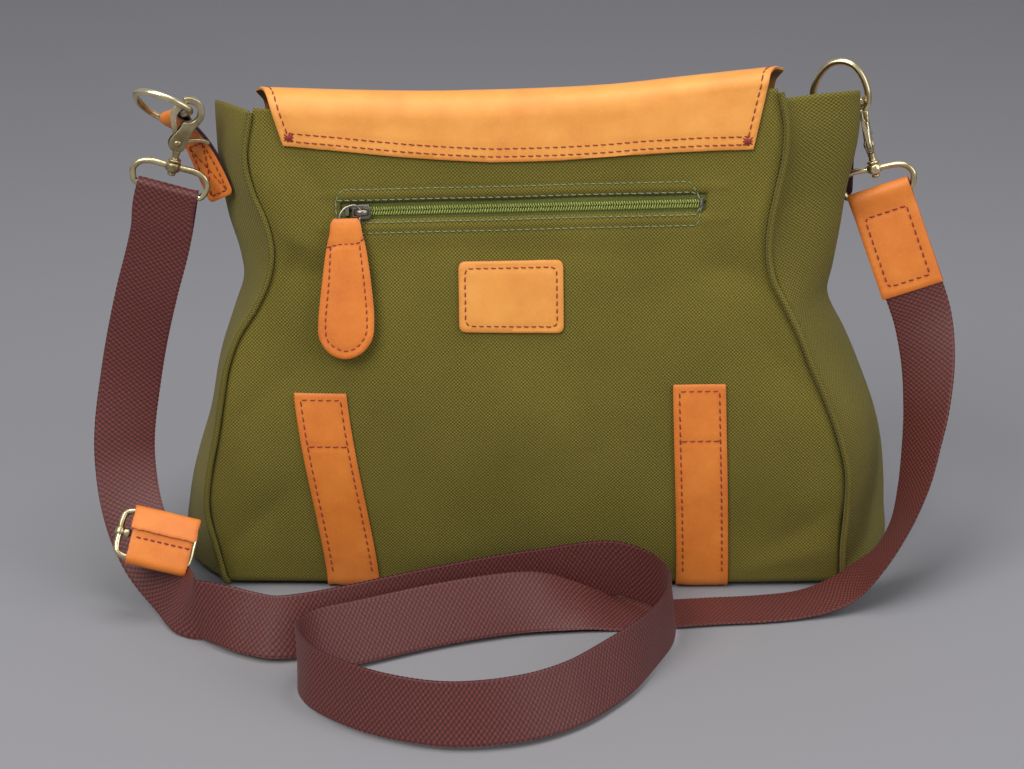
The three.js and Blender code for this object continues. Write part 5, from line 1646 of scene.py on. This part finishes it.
def hook_claw(label, axes):
    rim = [*arc(10.3, 118, -32, 14), (5.8, -11), (4.6, -16), (3.6, -21), (2.6, -24.4), (0.4, -26.2),
           (-3.0, -26.4), (-6.0, -24.6), (-7.4, -21.4), (-6.8, -18), (-4.4, -13.5), (-2.4, -9.5),
           *arc(6.2, -102, 118, 18)]
    half = HOOK_THICKNESS / 2

    def place(x, y, h):
        return in_frame(axes, x, y, h)

    outline = catmull(rim, closed=True, per_span=2)
    obj = block(f"claw_{label}", outline, -half, half, place, BRASS, bevel=1.25, segments=4)
    apply_modifiers(obj)
    opening = [(-13, -24.1), (14, -24.1), (14, -11.5), (1.2, -11.5), (-0.4, -5.5), (-13, -5.5)]
    slot = block("slot", opening, -HOOK_SLOT / 2, HOOK_SLOT / 2, place, BRASS, bevel=0)
    subtract(obj, slot)
    obj.data.set_sharp_from_angle(angle=math.radians(40))
    keep(obj, f"hook_{label}", "brass", f"hook_claw_{label}")
    post = (in_frame(axes, -1, 0), axes[1], axes[3], axes[2])
    neck = [(0.05, -39.6), (1.5, -39.6), (1.5, -32.8), (3.9, -32.6), (4.1, -31.9), (3.9, -31.2),
            (2.4, -30.6), (2.2, -29.0), (2.6, -25.6), (0.05, -25.2)]
    keep(turned(f"claw_neck_{label}", neck, post, 0.25), f"hook_{label}", "brass")
    cap = [(0.05, -42.2), (1.3, -42.1), (2.3, -41.7), (2.7, -41.0), (2.7, -40.0), (0.05, -40.0)]
    keep(turned(f"swivel_rivet_{label}", cap, post, 0.15), f"hook_{label}", "brass", f"swivel_cap_{label}")
    pin = (in_frame(axes, -2, -20.5), axes[1], axes[2], axes[3])
    head = half + 0.3
    upper = [(1.1, head), (2.4, head), (2.2, head + 0.35), (1.4, head + 0.8), (0.05, head + 0.95)]
    rivet = [(r, -h) for r, h in reversed(upper)] + upper
    keep(turned(f"gate_rivet_{label}", rivet, pin, 0.1), f"hook_{label}", "brass", f"hook_rivet_{label}")


def hook_gate(label, axes):
    tip = [(x - 2, y - 20.5) for x, y in arc(24.6, 104.6, 93.7, 4)]
    outline = [*tip, (-4.2, 1.6), (-6.2, -3), (-5.0, -9), (-2.6, -15.0), (0.8, -17.2), (6, -16.4),
               (13, -15.6), (17.5, -16.4), (17.6, -17.8), (13, -17.4), (6, -18.6), (1.1, -20.6),
               (0.3, -22.4), (-2.0, -23.5), (-4.2, -22.6), (-5.0, -20.6), (-6.0, -15), (-8.4, -9),
               (-10.0, -3)]
    half = GATE_THICKNESS / 2
    obj = block(f"gate_{label}", catmull(outline, closed=True, per_span=3), -half, half,
                lambda x, y, h: in_frame(axes, x, y, h), BRASS, bevel=0.45, segments=3)
    keep(obj, f"hook_gate_{label}", "brass", f"hook_gate_{label}")


def bail_frame(axes, across):
    x = Vector(across)
    x = (x - axes[2] * x.dot(axes[2])).normalized()
    return in_frame(axes, -1, 0), x, axes[2], x.cross(axes[2])


def bail(label, axes):
    half = WEBBING_WIDTH / 2
    drop = -BAIL_DROP
    right = [(6, -36.1), (14, -36.2), (half + 1, -38.2), (half + 4.2, -43), (half + 3.6, drop + 4),
             (half + 1.6, drop + 0.4), (half - 3, drop)]
    outline = [(-x, y) for x, y in right] + [(0, drop)] + list(reversed(right)) + [(0, -36.1)]
    wire = bent_wire(f"bail_wire_{label}", axes, outline, BAIL_WIRE, 7)
    keep(wire, "bag", "brass", f"hook_bail_{label}")
    barrel = [(2.1, -39.3), (3.4, -39.3), (4.6, -38.4), (5.0, -36.1), (4.6, -33.8), (3.4, -32.9),
              (2.1, -32.9)]
    around = (in_frame(axes, 0, 0), axes[1], axes[3], axes[2])
    keep(turned(f"bail_barrel_{label}", barrel, around, 0.3), "bag", "brass")


def trigger_hook(label, ring, grip, seat, up, through, across):
    axes = hook_frame(in_frame(ring, *grip), up, through, seat)
    hook_claw(label, axes)
    hook_gate(label, axes)
    hanger = bail_frame(axes, across)
    bail(label, hanger)
    return hanger


# ------------------------------------------------------------------ shoulder strap
def strap_stations(first, last, offset):
    """Middle, across and normal of the webbing at even steps between two route points."""
    route = STRAP_ROUTE
    raw = catmull([p[:3] for p in route], per_span=ROUTE_SPAN)
    across = []
    for i in range(len(raw)):
        k = min(i // ROUTE_SPAN, len(route) - 2)
        f = i / ROUTE_SPAN - k
        across.append(Vector(route[k][3:]).lerp(Vector(route[k + 1][3:]), f))
    soft = []
    reach = 14
    for i in range(len(raw)):
        lo = max(i - reach, 0)
        hi = min(i + reach, len(raw) - 1)
        reach_here = min(i - lo, hi - i)
        total = Vector()
        for j in range(i - reach_here, i + reach_here + 1):
            total += across[j]
        soft.append(total.normalized())
    start = first * ROUTE_SPAN
    end = last * ROUTE_SPAN
    path = raw[start:end + 1]
    soft = soft[start:end + 1]
    lengths = [0.0]
    for a, b in zip(path, path[1:]):
        lengths.append(lengths[-1] + (b - a).length)
    count = round(lengths[-1] / STATION_STEP)
    stations = []
    k = 0
    for i in range(count + 1):
        s = lengths[-1] * i / count
        while k < len(lengths) - 2 and lengths[k + 1] < s:
            k += 1
        t = (s - lengths[k]) / (lengths[k + 1] - lengths[k])
        stations.append((path[k].lerp(path[k + 1], t), soft[k].lerp(soft[k + 1], t)))
    result = []
    for i, (middle, side) in enumerate(stations):
        along = (stations[min(i + 1, count)][0] - stations[max(i - 1, 0)][0]).normalized()
        normal = along.cross(side).normalized()
        side = normal.cross(along).normalized()
        result.append((middle + normal * offset, side, normal))
    return result


def webbing(name, stations):
    """A woven strip with raised cells on both faces and a tighter selvedge at both edges."""
    half = WEBBING_WIDTH / 2
    across = 46
    profile = []
    for i in range(across + 1):
        x = lerp(-half, half, i / across)
        round_off = math.sqrt(max(1 - max(abs(x) - half + 0.8, 0) ** 2 / 0.64, 0.0))
        profile.append((x, WEBBING_THICKNESS / 2 * max(round_off, 0.12)))
    points = []
    flat = []
    height = []
    length = 0.0
    for i, (middle, side, normal) in enumerate(stations):
        if i:
            length += (middle - stations[i - 1][0]).length
        for face in (1, -1):
            for x, t in (profile if face > 0 else reversed(profile)):
                edge = smooth((half - abs(x)) / 2.2)
                pick = math.cos(math.pi * length / WEAVE_ALONG)
                cell = math.cos(math.pi * x / WEAVE_ACROSS) * pick * edge
                cell = math.copysign(abs(cell) ** 0.75, cell)
                cell += 0.8 * math.cos(2 * math.pi * length / 3.1 + (1 if x > 0 else 2.5)) * (1 - edge)
                jitter = 0.25 * noise.noise(Vector((x * 0.7, length * 0.7, face)))
                h = cell * 0.5 + jitter
                width = x * (1 + 0.004 * pick * (1 - edge))
                rise = t - WEAVE_HEIGHT * 0.4 + WEAVE_HEIGHT * h * min(t, 0.6) / 0.6
                points.append(middle + side * width + normal * face * rise)
                flat.append((x, length))
                # The weave value that colours the webbing follows its relief, for painted shade in the low cells and a
                # painted highlight on the raised ones.
                height.append(0.5 + cell * 0.42 + jitter * 0.3)
    obj = new_object(name, points, loft_faces(len(stations), 2 * (across + 1)), [WEBBING])
    face_outwards(obj)
    set_cloth(obj, flat)
    set_value(obj, "weave", height)
    return obj


def follow(path):
    """Evenly spaced stations along a path of middles and across directions."""
    dense = []
    for (p, a), (q, b) in zip(path, path[1:]):
        steps = max(1, round((q - p).length / STATION_STEP))
        dense += [(p.lerp(q, t / steps), a.lerp(b, t / steps)) for t in range(steps)]
    dense.append(path[-1])
    stations = []
    for i, (p, a) in enumerate(dense):
        along = (dense[min(i + 2, len(dense) - 1)][0] - dense[max(i - 2, 0)][0]).normalized()
        normal = along.cross(a).normalized()
        stations.append((p, normal.cross(along).normalized(), normal))
    return stations


def line_length(points):
    return sum((Vector(b) - Vector(a)).length for a, b in zip(points, points[1:]))


def shoulder_strap(left_hanger):
    """The long run goes up and over the left bail's bar. The doubled layer hangs behind it."""
    bar = in_frame(left_hanger, 0, -BAIL_DROP)
    up = left_hanger[2]
    back = Vector((0, 1, 0))
    back = (back - up * up.y).normalized()
    side = left_hanger[1]
    turn = 3.4
    steps = 14
    over = [(bar + up * turn * y + back * turn * x, side) for x, y in arc(1.0, 0, 180, steps)]
    run = strap_stations(0, len(STRAP_ROUTE) - 1, 0.0)
    path = [to_frame(s[0]) for s in run[::10]] + [to_frame(run[-1][0])]
    start = over[-1][0]
    below = [(p, a) for p, a, _ in run if p.x > 0 or (p - start).dot(up) < -3.0]
    blend_over = 24
    for i, (p, a) in enumerate(below[:blend_over]):
        level = start - up * (start - p).dot(up)
        below[i] = (level.lerp(p, smooth(i / blend_over)), a)
    strap = webbing("strap_webbing_long", follow(over + below))
    keep(strap, "bag", "webbing", "strap_webbing")

    behind = [(p, a) for p, a, _ in strap_stations(0, 8, -turn) if p.z > DOUBLED_LOW]
    start = over[0][0]
    behind = [(p, a) for p, a in behind if (p - start).dot(up) < -1.0]
    for i, (p, a) in enumerate(behind[:blend_over]):
        behind[i] = (start.lerp(p, smooth(i / blend_over)), a)
    stations = follow([(start, side)] + behind)
    doubled = webbing("strap_webbing_doubled", stations)
    keep(doubled, "bag", "webbing", "strap_return")
    doubled_path = [to_frame(s[0]) for s in stations[::6]] + [to_frame(stations[-1][0])]
    return strap, path, line_length(path), doubled, doubled_path, line_length(doubled_path)


def strap_end(right_hanger):
    """A leather strip folded over the right bail's bar and sewn to the webbing with a boxed row."""
    bar = in_frame(right_hanger, 0, -BAIL_DROP)
    up = right_hanger[2]
    across = right_hanger[1]
    front = Vector((0, -1, 0))
    front = (front - up * front.dot(up)).normalized()
    foot = Vector((238.4, -9.2, 184.0))
    down = (foot - bar).normalized()
    length = (foot - bar).length
    across = (across - down * across.dot(down)).normalized()
    out = down.cross(across)
    if out.dot(front) < 0:
        out = -out
    turn = 3.6
    curl = math.pi * turn

    def bent(s):
        """Along the strip: down the front, with the fold over the bar at the top."""
        if s >= 0:
            return s, lerp(turn, 1.75, smooth(s / 12)), 0.0
        angle = -s / turn
        if angle < math.pi:
            return -turn * math.sin(angle), turn * math.cos(angle), angle
        back = -s - curl
        return back, -lerp(turn, 1.75, smooth(back / 12)), math.pi

    def surface(a, b, offset):
        s, n, angle = bent(b)
        drop = -math.sin(angle) * (offset - 1.0)
        rise = math.cos(angle) * (offset - 1.0)
        swell = 0.5 * math.sin(math.pi * min(max(abs(s) / length, 0), 1))
        return bar + down * (s + drop) + out * (n + rise + (swell if b > 0 else 0)) + across * a

    h = WEBBING_WIDTH / 2 + 1.0
    outline = rounded(oblong(-h, -curl - length, h, length), 1.0)
    m = 6.2
    row = oblong(-h + m, 13, h - m, length - 7)
    row.append(row[0])
    rows = [row, [(x, -curl - y) for x, y in row]]
    obj = leather("strap_end_leather_fold", outline, surface, 2.0, rows, 2.6, materials=DEEP)
    keep(obj, "bag", "leather", "strap_end_leather")
    runs = sewn_rows(rows, surface, 1.9, 4, 5.0, 3.6)
    thread = stitches("strap_end_stitches", runs, RED_THREAD, "bag", "leather", 0.5)
    return obj, thread


# ------------------------------------------------------------------ adjuster
ADJUSTER = ring_frame((-237.2, -97, 50.5), (0.92, 0.02, -0.25), (-0.16, 0.53, 0.82))


def adjuster():
    w = ADJUSTER_HALF_WIDTH
    h = ADJUSTER_HALF_HEIGHT
    right = [(w - 6, h), (w - 1.2, h - 2.2), (w, h - 7), (w, 0), (w, -h + 7), (w - 1.2, -h + 2.2),
             (w - 6, -h)]
    ring = bent_wire("adjuster_ring", ADJUSTER, mirrored((0, h), right, (0, -h)), 2.0, 7)
    keep(ring, "adjuster", "brass", "adjuster_frame")
    middle, across, up, out = ADJUSTER
    half_bar = [(1.8, 16.4), (2.9, 17.2), (2.9, 20.0), (2.5, 20.5), (0.05, 20.6)]
    bar = turned("adjuster_cross_bar", [(r, -x) for r, x in reversed(half_bar)] + half_bar,
                 (middle, up, out, across))
    keep(bar, "adjuster", "brass", "adjuster_bar")
    half_collar = [(3.3, 1.6), (2.9, 2.4), (2.0, 2.4)]
    collar = turned("adjuster_collar", [(r, -y) for r, y in reversed(half_collar)] + half_collar,
                    (in_frame(ADJUSTER, -w, 0.5), out, across, up), 0.3)
    keep(collar, "adjuster", "brass")
    pieces = [ring, bar, collar]

    def wrap(label, bar_at, inward, front_length, back_length, width, lean, rough, row_at):
        turn = 3.3
        curl = math.pi * turn

        def surface(a, b, offset):
            if b >= 0:
                s, n, angle = b, turn + lean * b, 0.0
            elif b > -curl:
                angle = -b / turn
                s, n = -turn * math.sin(angle), turn * math.cos(angle)
            else:
                s, n, angle = -b - curl, -turn, math.pi
            lift = offset - 0.9
            return in_frame(ADJUSTER, 3.5 + a, bar_at + inward * (s - math.sin(angle) * lift),
                            n + math.cos(angle) * lift)

        h = width / 2
        outline = rounded(oblong(-h, -curl - back_length, h, front_length),
                          [0.8, 0.8, 1.6, 4.0 if label == "lower" else 1.0])
        rows = [[(-h + 2.5, row_at), (h - 0.6, row_at)]] if row_at else []
        obj = leather(f"adjuster_leather_{label}", outline, surface, 1.9, rows, 2.0, materials=DEEP,
                      rough=rough)
        keep(obj, "adjuster", "leather", f"adjuster_wrap_{label}")
        pieces.append(obj)
        if row_at:
            runs = stitch_points(rows[0], surface, 1.85, 4.4, 3.2)
            pieces.append(stitches(f"adjuster_stitches_{label}", runs, RED_THREAD, "adjuster", "leather",
                                   0.5))

    wrap("upper", h, -1, 12.0, 7, 41, 0.32, 0.7, None)
    wrap("lower", -h, 1, 22.5, 9, 38, 0.10, 0.35, 12.5)
    return pieces


# ------------------------------------------------------------------ closures on the flap's front
def on_closure(x_middle):
    def surface(a, b, offset):
        return Vector((x_middle + a, face_depth(1, x_middle, b) + FLAP_GAP + 1.0 + offset, b))
    return surface


def seat(x, z):
    return face_depth(1, x, z) + FLAP_GAP + LEATHER + CLOSURE_GAP + LEATHER


def closure(label, x):
    """A sewn strap with a buckle, and a tail that snaps to the bag."""
    surface = on_closure(x)
    base = 2.0
    h = BASE_STRAP_HALF
    upper = rounded(oblong(-h, TAIL_HINGE_Z, h, 205), [0.2, 0.2, 3, 3])
    rows = [[(-h + 4, TAIL_HINGE_Z + 1), (-h + 4, 201)], [(h - 4, TAIL_HINGE_Z + 1), (h - 4, 201)],
            [(-h + 4, 201), (h - 4, 201)], [(-h + 4, 178), (h - 4, 178)]]
    strap = leather(f"closure_leather_{label}", upper, surface, LEATHER, rows, 3.0, base)
    keep(strap, "flap_front", "leather", f"closure_strap_{label}")
    tail_outline = rounded([(-h, TAIL_HINGE_Z), (h, TAIL_HINGE_Z), (h - 1, 64), (0, 52), (-h + 1, 64)],
                           [0.2, 0.2, 12, 9, 12])
    tail_rows = [[(-h + 4, TAIL_HINGE_Z - 1), (-h + 5, 66), (0, 56.5), (h - 5, 66),
                  (h - 4, TAIL_HINGE_Z - 1)]]
    tail = leather(f"closure_tail_leather_{label}", tail_outline, surface, LEATHER, tail_rows, 3.0, base)
    keep(tail, f"closure_tail_{label}", "leather", f"closure_tail_{label}")
    lift = base + LEATHER - 0.1
    stitches(f"closure_stitches_{label}", sewn_rows(rows, surface, lift, 8), RED_THREAD, "flap_front",
             "leather")
    stitches(f"closure_tail_stitches_{label}", sewn_rows(tail_rows, surface, lift, 4), RED_THREAD,
             f"closure_tail_{label}", "leather")
    snap(label, x)
    buckle(label, x)


def snap(label, x):
    """The socket on the bag's base strap, and the stud and its cap on the closure's tail."""
    face_y = face_depth(1, x, SNAP_Z)
    axes = (Vector((x, face_y, SNAP_Z)), Vector((1, 0, 0)), Vector((0, 0, -1)), Vector((0, 1, 0)))
    low = GAP + LEATHER
    socket = [(0.05, low), (7.4, low), (7.6, low + 0.8), (6.6, low + 1.7), (3.4, low + 1.7),
              (3.2, low + 0.7), (0.05, low + 0.7)]
    keep(turned(f"snap_socket_disc_{label}", socket, axes, 0.15), "bag", "brass", f"snap_socket_{label}")
    top = FLAP_GAP + LEATHER + CLOSURE_GAP
    stud = [(0.05, low + 1.9), (2.4, low + 1.9), (2.9, low + 2.4), (2.9, low + 3.0), (6.5, low + 3.2),
            (6.5, top), (0.05, top)]
    keep(turned(f"snap_stud_disc_{label}", stud, axes, 0.15), f"closure_tail_{label}", "brass",
         f"snap_stud_{label}")
    face = top + LEATHER
    cap = [(0.05, face - 0.2), (6.4, face - 0.2), (6.2, face + 0.6), (4.2, face + 1.5), (1.6, face + 1.9),
           (0.05, face + 2.0)]
    keep(turned(f"snap_cap_{label}", cap, axes, 0.1), f"closure_tail_{label}", "brass")


def buckle(label, x):
    """A frame hinged on the closure strap, and a prong that turns on the same bar."""
    slope = seat(x, BUCKLE_TOP - BUCKLE_HEIGHT) - seat(x, BUCKLE_TOP)
    down = Vector((0, slope, -BUCKLE_HEIGHT)).normalized()
    across = Vector((1, 0, 0))
    out = down.cross(across)
    axes = (Vector((x, seat(x, BUCKLE_TOP) + 4.6, BUCKLE_TOP)), across, down, out)
    w = BUCKLE_HALF_WIDTH
    b = BUCKLE_HEIGHT
    right = [(w - 4, 0), (w - 0.8, 1.2), (w, 5), (w, b / 2), (w, b - 5), (w - 0.8, b - 1.2), (w - 4, b)]
    ring = bent_wire(f"buckle_ring_{label}", axes, mirrored((0, 0), right, (0, b)), 1.7, 7, 16)
    keep(ring, f"buckle_frame_{label}", "brass", f"buckle_frame_{label}")
    eye = turned(f"prong_eye_{label}", [(2.1, -1.6), (3.4, -1.6), (3.6, -1.2), (3.6, 1.2), (3.4, 1.6),
                                        (2.1, 1.6)], (axes[0], down, out, across))
    lift = 2.6
    path = [in_frame(axes, 0, y, lift + rise)
            for y, rise in ((2.4, 0), (10, 0.4), (24, 0.6), (b + 2.6, 0.2))]
    tongue = tube(f"prong_tongue_{label}", catmull(path, per_span=6), 1.35, BRASS, sides=12)
    keep(eye, f"buckle_prong_{label}", "brass", f"buckle_prong_{label}")
    keep(tongue, f"buckle_prong_{label}", "brass")


# ------------------------------------------------------------------ camera, light and floor
CAMERA_PLACE = (-0.0098, -1.6085, 0.7420)   # metres
CAMERA_PITCH = 21.33            # degrees below level
CAMERA_LENS = 93.5
CAMERA_SENSOR = 36
FLOOR_COLOUR = (0.236, 0.229, 0.241)
FLOOR_ROUGHNESS = 0.75
FLOOR_REACH = 6.0
SKY_COLOUR = (0.86, 0.90, 0.96)
SKY_STRENGTH = 0.45
AIM = (0, 0, 0.12)              # where the lights point
# Name, place, size, power and colour.
LIGHTS = [
    ("key", (-0.9, -1.3, 1.6), 1.1, 30, (1.0, 0.985, 0.96)),
    ("fill", (1.5, -1.0, 1.0), 1.2, 13, (0.96, 0.98, 1.0)),
    ("top", (0.1, -0.15, 1.7), 0.9, 12, (1.0, 1.0, 1.0)),
]


def make_camera():
    camera = bpy.data.objects.new("camera", bpy.data.cameras.new("camera"))
    camera.location = CAMERA_PLACE
    camera.rotation_euler = (math.radians(90 - CAMERA_PITCH), 0, 0)
    camera.data.lens = CAMERA_LENS
    camera.data.sensor_width = CAMERA_SENSOR
    bpy.context.scene.collection.objects.link(camera)
    bpy.context.scene.camera = camera


def make_floor():
    look, _, _ = material("pale_floor", FLOOR_COLOUR, FLOOR_ROUGHNESS)
    mesh = bpy.data.meshes.new("floor")
    corners = oblong(-FLOOR_REACH, -FLOOR_REACH, FLOOR_REACH, FLOOR_REACH)
    mesh.from_pydata([(x, y, 0) for x, y in corners], [], [(0, 1, 2, 3)])
    mesh.materials.append(look)
    floor = bpy.data.objects.new("floor", mesh)
    bpy.context.scene.collection.objects.link(floor)
    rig.stage(floor)


def make_light():
    bpy.context.scene.view_settings.view_transform = "Standard"
    for name, place, size, power, colour in LIGHTS:
        data = bpy.data.lights.new(name, "AREA")
        data.size = size
        data.energy = power
        data.color = colour
        lamp = bpy.data.objects.new(name, data)
        lamp.location = place
        lamp.rotation_euler = (Vector(AIM) - Vector(place)).to_track_quat("-Z", "Y").to_euler()
        bpy.context.scene.collection.objects.link(lamp)
    world = bpy.data.worlds.new("soft_light")
    world.use_nodes = True
    sky = world.node_tree.nodes["Background"]
    sky.inputs["Color"].default_value = (*SKY_COLOUR, 1)
    sky.inputs["Strength"].default_value = SKY_STRENGTH
    bpy.context.scene.world = world


# ------------------------------------------------------------------ the whole bag
make_camera()
make_floor()
make_light()

left_hanger = trigger_hook("left", LEFT_RING, (12.5, 0), LEFT_SEAT, (0.27, -0.05, 0.96),
                           (0.25, -0.96, -0.12), (0.965, 0, -0.26))
right_hanger = trigger_hook("right", RIGHT_RING, (-14.8, 0), RIGHT_SEAT, (-0.24, 0.1, 0.96),
                            (0.93, -0.2, 0.3), (-0.93, 0.2, -0.31))
strap, strap_path, strap_length, doubled, doubled_path, doubled_length = shoulder_strap(left_hanger)
end_leather, end_thread = strap_end(right_hanger)
adjuster_pieces = adjuster()
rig.cord(strap, exit=strap_path[0], length=round(strap_length, 3), diameter=WEBBING_WIDTH * MM,
        far_end="object", stiffness="limp", lay="loose", path=strap_path,
        with_pieces=[end_leather, end_thread, *adjuster_pieces])
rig.cord(doubled, exit=doubled_path[0], length=round(doubled_length, 3), diameter=WEBBING_WIDTH * MM,
        far_end="bare", stiffness="limp", lay="loose", path=doubled_path)

back_panel()
front_panel()
gusset(-1, "left")
gusset(1, "right")
base_panel()
for side in (-1, 1):
    for direction in (-1, 1):
        piping(side, direction)
lining()
base_board()
back_label()
base_strap("left", -135.5, -117.5, 135.0, 34.0)
base_strap("right", 100.5, 105.5, 141.0, 36.0)
zip_stitches()
zip_chain()
zip_slider()
zip_puller()
flap()
d_ring("left", LEFT_RING)
d_ring("right", RIGHT_RING)
ring_tab("left", LEFT_RING, (-207, -9, 244), (-1, -1, 0), -4.6, 5, 36, (0.92, -0.38, 0.1))
ring_tab("right", RIGHT_RING, (184, 25, 238), (1, 1, 0.2), 0, 0, 40)
for label, x in CLOSURES.items():
    closure(label, x)

with open("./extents.json", "w") as handle:
    json.dump({"cad": [list(c) for c in CAD_BOX], "visual": [list(c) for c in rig.bounds()]}, handle)
